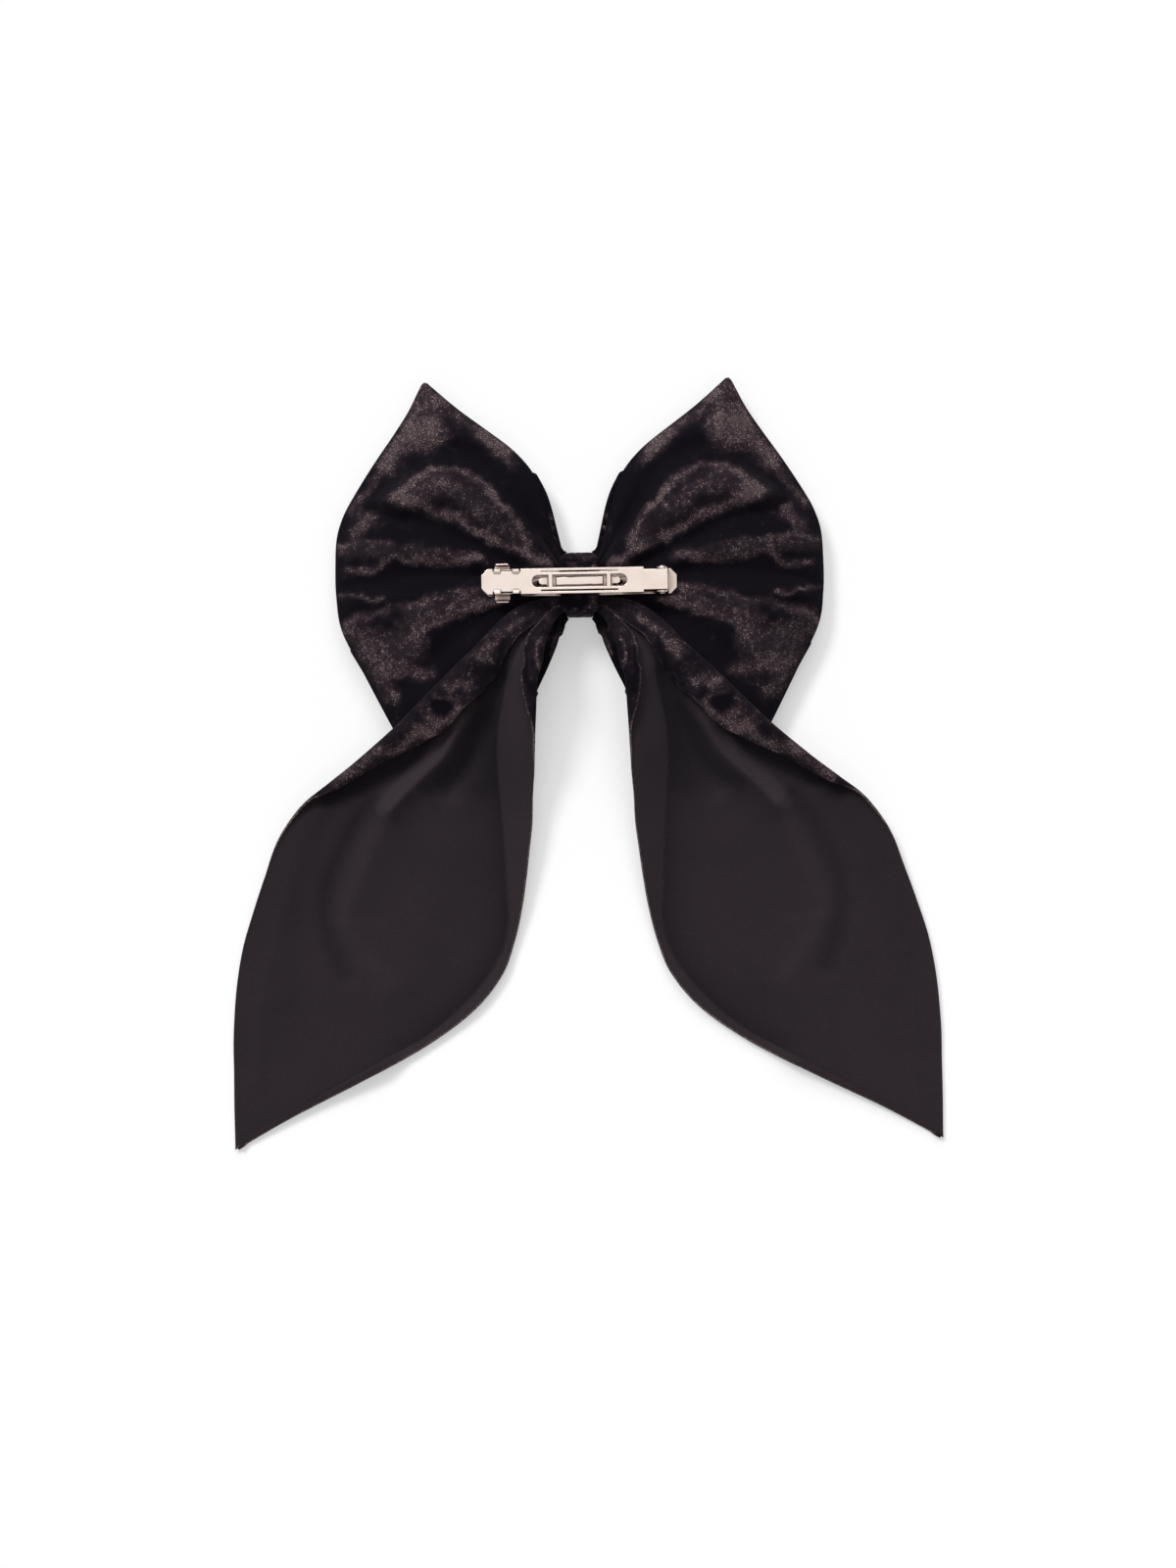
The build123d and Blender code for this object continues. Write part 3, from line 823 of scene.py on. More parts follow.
# Pressed pile on the back panel, shown as painted sheen in the velvet's colour. The front panel has
# the same bands, mirrored.
BACK_PILE_AND_PAINTED_SHEEN = (
    Stroke(
        ((58, 26), (52.2, 31.2), (46.8, 34.3), (38.3, 35.1), (33.7, 33.1), (27.5, 28.9),
         (22.9, 23.5)),
        1.7, 0.62,
    ),
    Stroke(((27.5, 28.9), (22.9, 23.5), (19.8, 18.8), (16, 11)), 1.2, 0.38),
    Stroke(
        ((58.4, 25.2), (50.7, 23.9), (44.5, 21.9), (38.3, 19.6), (32.1, 16.1), (27.5, 12.7)),
        1.9, 0.62,
    ),
    Stroke(((27.5, 12.7), (22.9, 11.1), (14.4, 8.0), (9, 6.4)), 1.6, 0.42),
    Stroke(((54, 28), (46, 29.5), (38, 27.5), (30, 22.5), (23, 17), (18, 12.5)), 4.6, 0.36, 3.0),
    Stroke(((75, 10.6), (67, 10.0), (58, 10.0), (50, 9.8), (40, 8.6), (31, 7.6)), 2.6, 0.34, 3.0),
    Stroke(((72.3, 4.4), (66.1, 4.4), (60, 6.9), (50.7, 7.0), (41.4, 6.3), (32.1, 7.4)), 1.4, 0.58),
    Stroke(((75.4, 11.5), (67.7, 13.6), (58.4, 12.3)), 1.1, 0.34),
    Stroke(((70.5, 16.5), (66.5, 21)), 2.8, 0.50),
    Stroke(((75.4, -3.6), (68, -4.4), (61, -5)), 0.9, 0.48),
    Stroke(
        ((74.2, -12.8), (66.1, -9.2), (53, -7.4), (46.8, -4.5), (38.3, -2.9), (32, -2.6)),
        1.6, 0.46,
    ),
    Stroke(((54, -11), (45, -9), (38, -7.6), (29, -5.4)), 3.0, 0.34, 3.0),
    Stroke(((49, -14), (44.5, -12.3), (38.3, -11.0), (32.1, -8.4), (24.4, -6.8)), 1.4, 0.56),
    Stroke(((73, -16), (60, -16.5), (51, -15)), 3.6, 0.44, 3.0),
    Stroke(((69, -22), (58, -22.5), (50, -20.5)), 3.8, 0.44, 3.0),
    Stroke(((64, -28), (54, -27.5), (47.5, -28)), 2.8, 0.54),
    Stroke(((62, -32.5), (58.5, -36)), 2.6, 0.46),
    Stroke(((49, 60), (49.5, 53), (47, 47)), 6.2, 0.50, 3.0),
    Stroke(((61, 38), (53, 44.5), (46, 47)), 4.6, 0.46),
    Stroke(((44, 58), (36, 52.2), (28.5, 46.8), (23.5, 42.6)), 2.8, 0.48),
    Stroke(((53, 51), (63, 36.6), (68, 28.9), (72, 24)), 2.0, 0.44),
    Stroke(((30, 46.5), (24.5, 42.5), (20.5, 38.2)), 2.6, 0.44),
    Stroke(((14, 28), (9.5, 17)), 1.6, 0.16),
    Stroke(((10.6, -10.6), (8.8, -14.6), (10.6, -17.4)), 2.0, 0.34),
    Stroke(((5.9, -13), (6.9, -16.2), (8.2, -19.6), (9.4, -22.6)), 0.8, 0.50),
    Stroke(((15.5, 5), (12.5, 7), (10.0, 7.8)), 1.8, 0.30),
    Stroke(((31, -8.2), (27, -8.0), (24.6, -6.8)), 1.0, 0.40),
)
# Painted sheen that all of the loops' pressed pile starts from.
BASE_PILE_AND_PAINTED_SHEEN = 0.06
MIRROR_Y = np.array([1.0, -1.0])


@dataclass
class VelvetPanel:
    """One velvet panel: both puffed loops and the gathered neck between them.

    A loop is a fan of lines from the neck to the outline. Its height over the seam is a dome,
    1 - (1 - distance from the outline / reach) ** dome_power, with folds added to it.
    """

    face: Face
    seam_z: float = 8.1
    lip: float = 0.42
    rise: float = 9.2
    reach: float = 25.0
    dome_power: float = 2.2
    fold_ease: float = 7.0
    front_rise: float = 0.82
    front_folds: float = 0.75
    front_spread: float = 0.97
    neck_x: float = 5.6
    neck_half: float = 8.4
    neck_rise: float = 4.2
    neck_slope: float = 0.60
    gather_rise: float = 0.95
    gather_count: float = 7.5
    gather_length: float = 26.0
    cloth: float = 0.8
    floor_gap: float = 0.15
    plate_z: float = 16.05
    plate_gap: float = 0.45
    plate_half: float = 3.9
    plate_long: float = 30.3
    plate_bow: float = 2.0
    plate_bow_long: float = 18.0
    plate_side: float = 1.2
    fan_lines: int = 256
    rings: int = 88
    ring_crowding: float = 1.35
    neck_rows: int = 9

    def outline(self) -> Array:
        """Edge of the +X loop, from the neck's upper corner round both tips to its lower corner.

        Returns:
            Dense samples of the edge, before it is turned outwards.
        """
        upper = ((4.4, 10.3), (5.6, 11.8), (7.1, 14.4), (8.2, 18.5), (9.4, 23.4), (11.0, 28.4))
        upper += ((13.1, 32.7), (15.6, 36.8), (18.8, 40.6), (23.3, 44.7), (31.0, 50.3))
        tip = ((38.8, 56.0), (46.2, 62.2), (48.6, 64.2), (49.9, 63.8), (51.3, 61.2))
        outer = ((54.4, 54.9), (58.8, 47.9), (65.5, 38.0), (71.6, 28.1), (75.0, 21.6))
        outer += ((77.0, 14.6), (77.4, 5.0), (77.1, -4.0), (75.3, -14.6), (68.6, -27.6))
        low_tip = ((59.3, -45.1), (51.0, -59.4), (49.8, -62.0), (48.6, -62.5), (46.4, -60.9))
        lower = ((38.8, -55.2), (27.9, -47.3), (16.9, -38.6), (11.8, -29.6), (7.5, -19.6))
        lower += ((6.0, -14.6), (4.9, -12.0), (3.7, -10.3))
        return smooth_line(upper + tip + outer + low_tip + lower, 600)

    def folds(self, xy: Array) -> Array:
        """Height of the folds; the front has the back's, mirrored in y, wider apart and lower.

        Args:
            xy: points of the panel.

        Returns:
            The height at each point.
        """
        if self.face is Face.FRONT:
            return self.front_folds * strokes_at(BACK_FOLDS, xy * MIRROR_Y * self.front_spread)
        return strokes_at(BACK_FOLDS, xy)

    def gathers(self, xy: Array, share: Array) -> Array:
        """Gathers at the neck: waves across the fan that die out along it.

        Args:
            xy: points of the panel.
            share: place of each point across the fan, 0 to 1.

        Returns:
            The height of the gathers at each point.
        """
        along = np.clip((xy[..., 0] - self.neck_x) / self.gather_length, 0, 1)
        drift = 0.15 * rolling_noise(xy[..., 0], xy[..., 1], 9, 4)
        wave = np.cos(2 * np.pi * (self.gather_count * share + drift))
        return self.gather_rise * wave * np.exp(-along * 3.2) * np.clip(along * 14, 0, 1)

    def height(self, xy: Array, edge: Array) -> Array:
        """Height over the seam of the dome with its folds, before gathers and neighbours.

        Args:
            xy: points of the panel.
            edge: the loop's outline.

        Returns:
            The height at each point.
        """
        away = distance_to(xy, edge)
        full = 1 - (1 - np.clip(away / self.reach, 0, 1)) ** self.dome_power
        ramp = self.neck_rise + np.maximum(xy[..., 0] - self.neck_x, 0) * self.neck_slope
        rise = soft_min(self.rise * full, ramp, 0.8)
        ease = np.clip(away / self.fold_ease, 0, 1)
        return np.maximum(rise + self.folds(xy) * ease * ease * (3 - 2 * ease), 0.0)

    def under_plate(self, xy: Array) -> Array:
        """Highest the cloth may reach under the clip's base plate, rising fast beside it.

        Args:
            xy: points, turned outwards as the loop is.

        Returns:
            The height at each point.
        """
        x, y = np.abs(xy[..., 0]), np.abs(xy[..., 1])
        bow = np.minimum(x, self.plate_bow_long) ** 2 * (self.plate_bow / self.plate_bow_long**2)
        beside = np.maximum(y - self.plate_half, 0)
        beyond = np.maximum(x - self.plate_long, 0)
        under = self.plate_z + bow - self.plate_gap
        return under + self.plate_side * beside + self.plate_side * beyond

    def surface_z(self, xy: Array, edge: Array) -> Array:
        """Height of the panel's outer side.

        Args:
            xy: points of the panel.
            edge: the loop's outline.

        Returns:
            The height above the floor at each point.
        """
        rise = self.height(xy, edge)
        if self.face is Face.FRONT:
            low = self.seam_z - self.lip - self.front_rise * rise
            return soft_max(low, self.floor_gap + 0.3, 0.5) - 0.1
        return soft_min(self.seam_z + self.lip + rise, self.under_plate(splayed(xy)), 0.5)

    def pile_and_painted_light_at(self, xy: Array) -> Array:
        """Pressed pile of the panel, shown as painted sheen.

        Args:
            xy: points of the panel.

        Returns:
            0 to 1 at each point.
        """
        if self.face is Face.FRONT:
            xy = xy * MIRROR_Y
        drift = 0.08 * rolling_noise(xy[..., 0], xy[..., 1], 11, 9)
        return BASE_PILE_AND_PAINTED_SHEEN + drift + strokes_at(BACK_PILE_AND_PAINTED_SHEEN, crumpled(xy, 0.95, 90))

    def build(self, name: str) -> bpy.types.Object:
        """Makes the panel as one grid: -X loop, neck, +X loop.

        Args:
            name: the piece's name.

        Returns:
            The new object, still one layer thick until its wall is added.
        """
        edge = self.outline()
        rim = even_line(edge, self.fan_lines)
        share = np.linspace(0, 1, self.fan_lines)
        neck_y = self.neck_half * (1 - 2 * share)
        neck = np.stack([np.full_like(share, self.neck_x), neck_y], axis=1)
        ring = 1 - (1 - np.linspace(0, 1, self.rings)) ** self.ring_crowding
        xy = neck[None] * (1 - ring[:, None, None]) + rim[None] * ring[:, None, None]
        z = self.surface_z(xy, edge) + self.face.value * self.gathers(xy, share[None, :])
        z[-1] = self.seam_z + self.face.value * self.lip
        loop = np.concatenate([splayed(xy), z[..., None]], axis=2)
        pile_and_painted_light = self.pile_and_painted_light_at(xy)
        other = loop[::-1] * np.array([-1.0, 1.0, 1.0])
        steps = np.linspace(-1, 1, self.neck_rows)[1:-1, None, None]
        middle = np.repeat(loop[:1], len(steps), axis=0) * np.array([0.0, 1.0, 1.0])
        middle = middle + steps * np.array([self.neck_x, 0.0, 0.0])
        points = np.concatenate([other, middle, loop])
        pile = np.concatenate([pile_and_painted_light[::-1], np.repeat(pile_and_painted_light[:1], len(steps), axis=0), pile_and_painted_light])
        flip = self.face is Face.BACK
        return surface(name, points, flip=flip, uv=points[..., :2], pile_and_painted_light=pile)

    def dress(self, obj: bpy.types.Object, velvet: Finish, node: str) -> None:
        """Gives the panel its finish, its wall and its place on the bow.

        Args:
            obj: the panel.
            velvet: its finish.
            node: the CAD node that it stands for.
        """
        obj.data.materials.append(velvet)
        thicken(obj, self.cloth)
        settle(obj, node)


# ---------------------------------------------------------------- tails
@dataclass(frozen=True)
class Rib:
    """One cross-section of a tail: its two visible edges and how each is curled over.

    A curl is a radius and the length of cloth past the flat part, along the rib.
    """

    outer: Triple
    inner: Triple
    outer_curl: float
    outer_cloth: float
    inner_curl: float
    inner_cloth: float

    def row(self) -> tuple[float, ...]:
        """All the numbers in one row."""
        curls = (self.outer_curl, self.outer_cloth, self.inner_curl, self.inner_cloth)
        return (*self.outer, *self.inner, *curls)


TAIL_RIBS = (
    Rib((2.0, -3.2, 14.2), (2.0, -8.2, 14.0), 0.7, 1.8, 0.7, 1.8),
    Rib((9.4, -5.0, 15.0), (6.2, -8.8, 14.4), 0.9, 4.6, 0.8, 3.6),
    Rib((18.4, -7.9, 17.6), (10.0, -15.0, 17.2), 1.5, 10.2, 1.2, 6.4),
    Rib((25.4, -13.5, 18.9), (11.6, -20.8, 18.6), 2.2, 12.0, 1.4, 8.4),
    Rib((31.9, -20.6, 19.4), (12.3, -25.6, 18.6), 2.8, 15.2, 1.5, 8.0),
    Rib((39.0, -27.4, 19.4), (13.7, -30.2, 18.2), 3.0, 19.2, 1.5, 7.4),
    Rib((48.0, -36.4, 18.4), (14.2, -39.6, 15.6), 3.1, 20.6, 1.5, 5.2),
    Rib((57.0, -45.4, 16.4), (14.6, -50.0, 12.6), 3.1, 19.8, 1.6, 2.4),
    Rib((69.9, -56.4, 12.2), (14.5, -58.8, 9.6), 2.9, 12.4, 2.0, 1.2),
    Rib((79.0, -63.4, 9.4), (15.0, -67.0, 7.2), 2.4, 8.6, 2.4, 1.0),
    Rib((87.6, -70.4, 7.2), (15.3, -75.2, 5.4), 2.6, 4.4, 2.4, 1.0),
    Rib((95.6, -80.8, 5.4), (16.3, -83.8, 4.4), 3.2, 2.4, 2.4, 1.0),
    Rib((100.4, -93.2, 4.2), (17.3, -92.6, 3.4), 3.2, 1.6, 2.4, 1.0),
    Rib((104.4, -104.9, 3.4), (18.8, -102.6, 2.8), 3.0, 1.2, 2.4, 1.0),
    Rib((107.6, -115.8, 2.8), (21.2, -113.2, 2.4), 3.0, 1.0, 2.4, 1.0),
    Rib((109.7, -128.8, 2.4), (25.2, -123.8, 2.2), 3.0, 0.9, 2.4, 1.0),
    Rib((110.6, -143.2, 2.2), (34.2, -135.0, 2.0), 3.0, 0.9, 2.4, 1.0),
    Rib((110.5, -155.0, 2.0), (49.6, -146.4, 1.9), 3.0, 0.9, 2.4, 0.9),
    Rib((110.4, -166.0, 2.0), (70.4, -157.9, 1.8), 3.0, 0.9, 2.4, 0.7),
    Rib((110.2, -174.0, 2.0), (91.0, -168.6, 1.8), 2.0, 0.6, 2.0, 0.5),
    Rib((110.1, -179.9, 2.0), (109.3, -179.2, 1.9), 0.5, 0.1, 0.5, 0.1),
)
CREASE = (
    (17.0, -10.0), (19.0, -14.5), (20.8, -19.0), (22.5, -25.0), (23.2, -32.0), (24.8, -40.0),
    (25.8, -47.0), (26.1, -55.0), (25.6, -63.0), (24.6, -75.0), (23.8, -87.0), (23.2, -98.0),
    (22.8, -107.0), (24.6, -115.5), (28.6, -123.0), (34.0, -130.0), (41.0, -137.0),
    (49.0, -143.4), (56.0, -147.5),
)
TAIL_FOLDS = (
    Stroke(
        ((33, -37), (35.2, -41), (37.7, -45), (40, -49.5), (42.6, -54.2), (46.5, -58), (52, -63),
         (60, -71)),
        3.6, 3.2, 1.25,
    ),
    Stroke(((26.5, -30), (29.0, -40), (31.5, -49), (35, -57), (41, -65)), 3.6, -2.8),
    Stroke(((44, -48), (52, -55.5), (61, -60.5), (71, -65)), 3.0, -1.4),
    Stroke(
        ((66, -69), (71, -77), (75, -84.5), (79, -94), (80.7, -103), (79.5, -112), (75, -124)),
        3.0, -1.7,
    ),
    Stroke(((60, -73), (66, -84), (70.5, -96), (74, -106), (69, -117), (61, -128)), 4.6, 1.4, 1.5),
    Stroke(((84, -72), (90, -86), (94, -100), (96, -116), (95, -130)), 4.6, 1.2),
    Stroke(((45, -84), (48, -104), (52, -124)), 8.0, 1.0),
    Stroke(((100, -120), (102, -140), (103, -158)), 3.0, 0.7),
)
# Painted light and shade on the tails' plain side: positive bands are painted light, and negative
# bands are painted shade.
KNIT_PAINTED_LIGHT_AND_SHADE = (
    Stroke(
        ((34.4, -38.6), (37.2, -42.7), (40.6, -46.9), (43.8, -51.2), (47, -55.4), (51.6, -59.8),
         (57.5, -65.2), (62, -70)),
        3.0, 0.36, 4.5,
    ),
    Stroke(
        ((31.6, -39), (33.6, -44), (36, -49.4), (38.8, -55.2), (43.0, -59.8), (48, -64)),
        2.7, -0.26, 3.0,
    ),
    Stroke(((27.4, -30), (29.8, -40), (31.4, -50), (32.5, -62)), 6.0, -0.22, 3.0),
    Stroke(((42, -46.4), (48, -50.8), (54, -54.8), (62, -58.6), (71, -63), (80, -68)), 2.6, -0.40),
    Stroke(
        ((65.6, -69.5), (71, -77), (74.6, -84.3), (79, -94), (80.7, -103), (79.5, -112),
         (75.4, -124)),
        2.6, -0.15,
    ),
    Stroke(((62, -76), (68, -86), (72, -97), (75.5, -107), (70, -117), (62, -128)), 4.5, 0.10),
    Stroke(((77, -106.5), (70, -107), (62, -108)), 1.8, 0.07),
    Stroke(((86, -74), (93, -88), (97, -102), (100, -118)), 7.0, -0.05),
)
# Pressed pile on the tails' turned-over velvet, shown as painted sheen. The negative bands are
# painted shade.
ROLL_PILE_AND_PAINTED_LIGHT = (
    Stroke(((18.5, -12), (22.5, -14.8), (25.5, -17.5), (28.5, -21), (30.5, -24)), 1.2, 0.48),
    Stroke(((41, -32.5), (37.5, -30.8), (34.5, -31.8)), 1.6, 0.44),
    Stroke(((38.0, -38.5), (40.5, -42.0), (43, -43.5)), 1.6, 0.52),
    Stroke(((38.5, -36.0), (44, -35.4)), 1.0, 0.30),
    Stroke(((47, -41), (45.5, -44), (50, -46), (46, -47)), 2.0, 0.40),
    Stroke(((46, -47.0), (51, -46.8), (55, -50.5), (59.5, -51.8)), 1.6, 0.52),
    Stroke(((62, -53), (70, -58.6), (77, -63)), 1.5, 0.34),
    Stroke(((44.0, -38.0), (42.4, -38.3)), 2.0, -0.60),
    Stroke(((24.6, -17), (25.4, -22), (26.4, -27)), 1.2, -0.20),
    Stroke(((12.0, -18), (12.5, -24), (12.9, -30)), 0.4, 0.40),
    Stroke(((16.8, -17), (16.5, -22), (16.0, -28), (15.2, -34)), 0.9, -0.14),
)


@dataclass
class Tail:
    """One tail: a layer of velvet with both edges curled up towards the back of the bow.

    Across a rib the cloth is a curl, a nearly flat part and a second curl. In a curl the cloth
    turns through its length divided by the radius, up to half a turn, and then runs straight back.
    Past the crease, towards the middle of the bow, the flat part rises and shades the rest.
    """

    side: Side
    loops: VelvetPanel
    cloth: float = 0.75
    flatten: float = 0.72
    over_loops: float = 0.75
    over_floor: float = 0.85
    edge_fall: float = 0.75
    crease_slope: float = 0.50
    crease_rise: float = 4.6
    # Painted light on the plain side past the crease, and painted shade beside it.
    crease_lit: float = 0.10
    crease_shade: float = 0.36
    # Base of the painted sheen on the turned-over pile and of the painted light on the plain side.
    # The cut edge gets a painted highlight.
    pile_painted_sheen: float = 0.27
    knit_painted_light: float = 0.50
    cut_edge_lit: float = 0.55
    cut_edge_width: float = 0.45
    pile_shows: float = 1.6
    edge_wander: float = 0.30
    folds_from: float = 14.0
    folds_ease: float = 22.0
    crease_from: float = 10.0
    crease_ease: float = 14.0
    tip_y: float = -178.0
    tip_fade: float = 30.0
    ribs: int = 250
    outer_steps: int = 40
    flat_steps: int = 92
    inner_steps: int = 26

    def curl(self, length: Array, radius: Array, cloth: Array) -> tuple[Array, Array]:
        """Where the cloth of one curl is.

        Args:
            length: length of cloth from the flat part.
            radius: the curl's radius.
            cloth: all the cloth in the curl.

        Returns:
            Distance in from the visible edge, and height over the flat part.
        """
        turn = np.minimum(length / radius, np.pi)
        back = np.maximum(length - np.pi * radius, 0)
        widest = radius * (1 - np.sin(np.minimum(cloth / radius, np.pi / 2)))
        drop = 0.42 + 0.58 * np.exp(-back / 9.0)
        lift = self.flatten * radius * (1 - np.cos(turn)) * drop
        return radius * (1 - np.sin(turn)) + back - widest, lift

    def wander(self, run: Array, like: Array, flap: Array, size: float, seed: int) -> Array:
        """Small in-and-out of a cut edge, only where the cloth is turned right over.

        Args:
            run: length along the tail, one row for each rib.
            like: a grid of the shape wanted.
            flap: how much cloth lies past the half turn, one row for each rib.
            size: step of the in-and-out.
            seed: seed of its noise.

        Returns:
            How far the edge is moved.
        """
        ragged = rolling_noise(run + 0 * like, 0 * like, size, seed)
        return self.edge_wander * ragged * np.clip(flap / 2, 0, 1)

    def inside_loop(self, xy: Array, edge: Array) -> Array:
        """Whether points are inside the outline: a line to +X crosses it an odd number of times.

        Args:
            xy: points of the tail.
            edge: the loop's outline.

        Returns:
            True for the points inside.
        """
        ring = np.vstack([edge, edge[:1]])
        crossings = np.zeros(xy.shape[:-1], dtype=int)
        for (x0, y0), (x1, y1) in zip(ring[:-1], ring[1:]):
            if y0 == y1:
                continue
            between = (xy[..., 1] > min(y0, y1)) & (xy[..., 1] <= max(y0, y1))
            at = x0 + (xy[..., 1] - y0) * (x1 - x0) / (y1 - y0)
            crossings += between & (xy[..., 0] < at)
        return crossings % 2 == 1

    def height(self, place: Array, run: Array, beyond: Array, fade: Array) -> Array:
        """Height of the uncurled cloth: folds and crease, kept over the loops and the floor.

        Args:
            place: points between the two edges of each rib.
            run: length along the tail, one row for each rib.
            beyond: distance past the crease, negative on its outer side.
            fade: how much of the crease there is, 0 to 1.

        Returns:
            The height above the floor at each point.
        """
        xy = place[..., :2]
        edge = self.loops.outline()
        calm = np.clip((run - self.folds_from) / self.folds_ease, 0, 1)
        tilt = self.crease_slope * soft_max(beyond, 0.0, 0.5)
        z = place[..., 2] + strokes_at(TAIL_FOLDS, xy) * calm
        z += soft_min(tilt, self.crease_rise, 0.6) * fade
        z += 0.35 * rolling_noise(xy[..., 0], xy[..., 1], 17, 31) * calm
        on_loop = self.loops.surface_z(xy, edge) + self.over_loops
        rim = self.loops.seam_z + self.loops.lip
        over_edge = rim + self.over_loops - self.edge_fall * distance_to(xy, edge)
        off_loop = soft_max(soft_max(z, self.over_floor, 0.5), over_edge, 0.7)
        return np.where(self.inside_loop(xy, edge), soft_max(z, on_loop, 0.7), off_loop)

    def pile(self, xy: Array, to_cut: Array) -> Array:
        """Pressed pile of the turned-over velvet as painted sheen, with a painted highlight on its
        cut edge.

        Args:
            xy: points of the tail.
            to_cut: length of cloth to the cut edge, at the points in a curl.

        Returns:
            The painted sheen at each point, before it is kept to 0 to 1.
        """
        streaks = self.pile_painted_sheen + strokes_at(ROLL_PILE_AND_PAINTED_LIGHT, crumpled(xy, 0.7, 60))
        return streaks + self.cut_edge_lit * np.exp(-((to_cut / self.cut_edge_width) ** 2))

    def knit(self, xy: Array, beyond: Array, fade: Array) -> Array:
        """Painted light and shade on the plain side: painted shade on the outer side of the crease,
        and painted light past it.

        Args:
            xy: points of the tail.
            beyond: distance past the crease, negative on its outer side.
            fade: how much of the crease there is, 0 to 1.

        Returns:
            0 to 1 at each point.
        """
        lit = self.crease_lit * np.clip(beyond / 1.2 + 0.5, 0, 1)
        shade = self.crease_shade * np.exp(np.minimum(beyond, 0) / 4.2)
        shade = shade * np.clip(0.5 - beyond / 0.7, 0, 1)
        return self.knit_painted_light + strokes_at(KNIT_PAINTED_LIGHT_AND_SHADE, xy) + (lit - shade) * fade

    def points(self) -> tuple[Array, Array, Array]:
        """Grid of the +X tail's back side, one row for each rib.

        Returns:
            The points, the place of each on the flat cloth, and its pressed pile with painted light
            and shade.
        """
        rows = smooth_line(np.array([rib.row() for rib in TAIL_RIBS]), self.ribs)
        outer, inner = rows[:, 0:3], rows[:, 3:6]
        r_out, c_out, r_in, c_in = (np.maximum(rows[:, k : k + 1], 0.05) for k in range(6, 10))
        span = np.linalg.norm((inner - outer)[:, :2], axis=1, keepdims=True)
        steps = np.linalg.norm(np.diff((outer + inner) / 2, axis=0), axis=1)
        run = np.cumsum(np.concatenate([[0.0], steps]))[:, None]

        step_out = np.linspace(1, 0, self.outer_steps)[None, :]
        step_mid = np.linspace(0, 1, self.flat_steps)[None, 1:-1]
        step_in = np.linspace(0, 1, self.inner_steps)[None, :]
        past_out, past_in = step_out * c_out, step_in * c_in
        from_out, lift_out = self.curl(past_out, r_out, c_out)
        from_in, lift_in = self.curl(past_in, r_in, c_in)
        flap_out, flap_in = c_out - np.pi * r_out, c_in - np.pi * r_in
        from_out = from_out + self.wander(run, from_out, flap_out, 2.2, 21) * step_out**6
        from_in = from_in + self.wander(run, from_in, flap_in, 1.5, 23) * step_in**6
        start = from_out[:, -1:]
        width = span - from_in[:, :1] - start
        flat = width * step_mid
        none = np.zeros_like(flat)
        across = np.concatenate([from_out, start + flat, span - from_in], axis=1)
        lift = np.concatenate([lift_out, none, lift_in], axis=1)
        cloth_x = np.concatenate([-past_out, flat, width + past_in], axis=1)
        turns = (past_out > self.pile_shows * r_out, none > 0, past_in > self.pile_shows * r_in)
        to_cut = ((1 - step_out) * c_out + 0.4, none, (1 - step_in) * c_in)

        place = outer[:, None, :] + (inner - outer)[:, None, :] * (across / span)[..., None]
        xy = place[..., :2]
        beyond = signed_distance(xy, smooth_line(CREASE, 4 * len(CREASE)))
        fade = np.clip((xy[..., 1] - self.tip_y) / self.tip_fade, 0, 1)
        fade = fade * np.clip((run - self.crease_from) / self.crease_ease, 0, 1)
        z = self.height(place, run, beyond, fade) + lift
        pile = self.pile(xy, np.concatenate(to_cut, axis=1))
        knit = self.knit(xy, beyond, fade)
        # Painted sheen on the turned-over pile, and painted light and shade on the plain side.
        pile_and_painted_light = np.where(np.concatenate(turns, axis=1), pile, knit)
        uv = np.stack([cloth_x, np.repeat(run, cloth_x.shape[1], axis=1)], axis=-1)
        return np.concatenate([splayed(xy), z[..., None]], axis=2), uv, pile_and_painted_light

    def build(self, name: str) -> bpy.types.Object:
        """Makes the tail, with its plain back as the outer side of the mesh.

        Args:
            name: the piece's name.

        Returns:
            The new object, still one layer thick until its wall is added.
        """
        points, uv, pile_and_painted_light = self.points()
        points = points * np.array([self.side.value, 1.0, 1.0])
        return surface(name, points, flip=self.side is Side.RIGHT, uv=uv, pile_and_painted_light=pile_and_painted_light)

    def dress(self, obj: bpy.types.Object, finishes: tuple[Finish, ...], node: str) -> None:
        """Gives the tail its two sides and its raw edge, and its place on the bow.

        Args:
            obj: the tail.
            finishes: the plain side's, the pile's and the cut edge's.
            node: the CAD node that it stands for.
        """
        for finish in finishes:
            obj.data.materials.append(finish)
        thicken(obj, self.cloth, inner_slot=1, rim_slot=2)
        settle(obj, node)


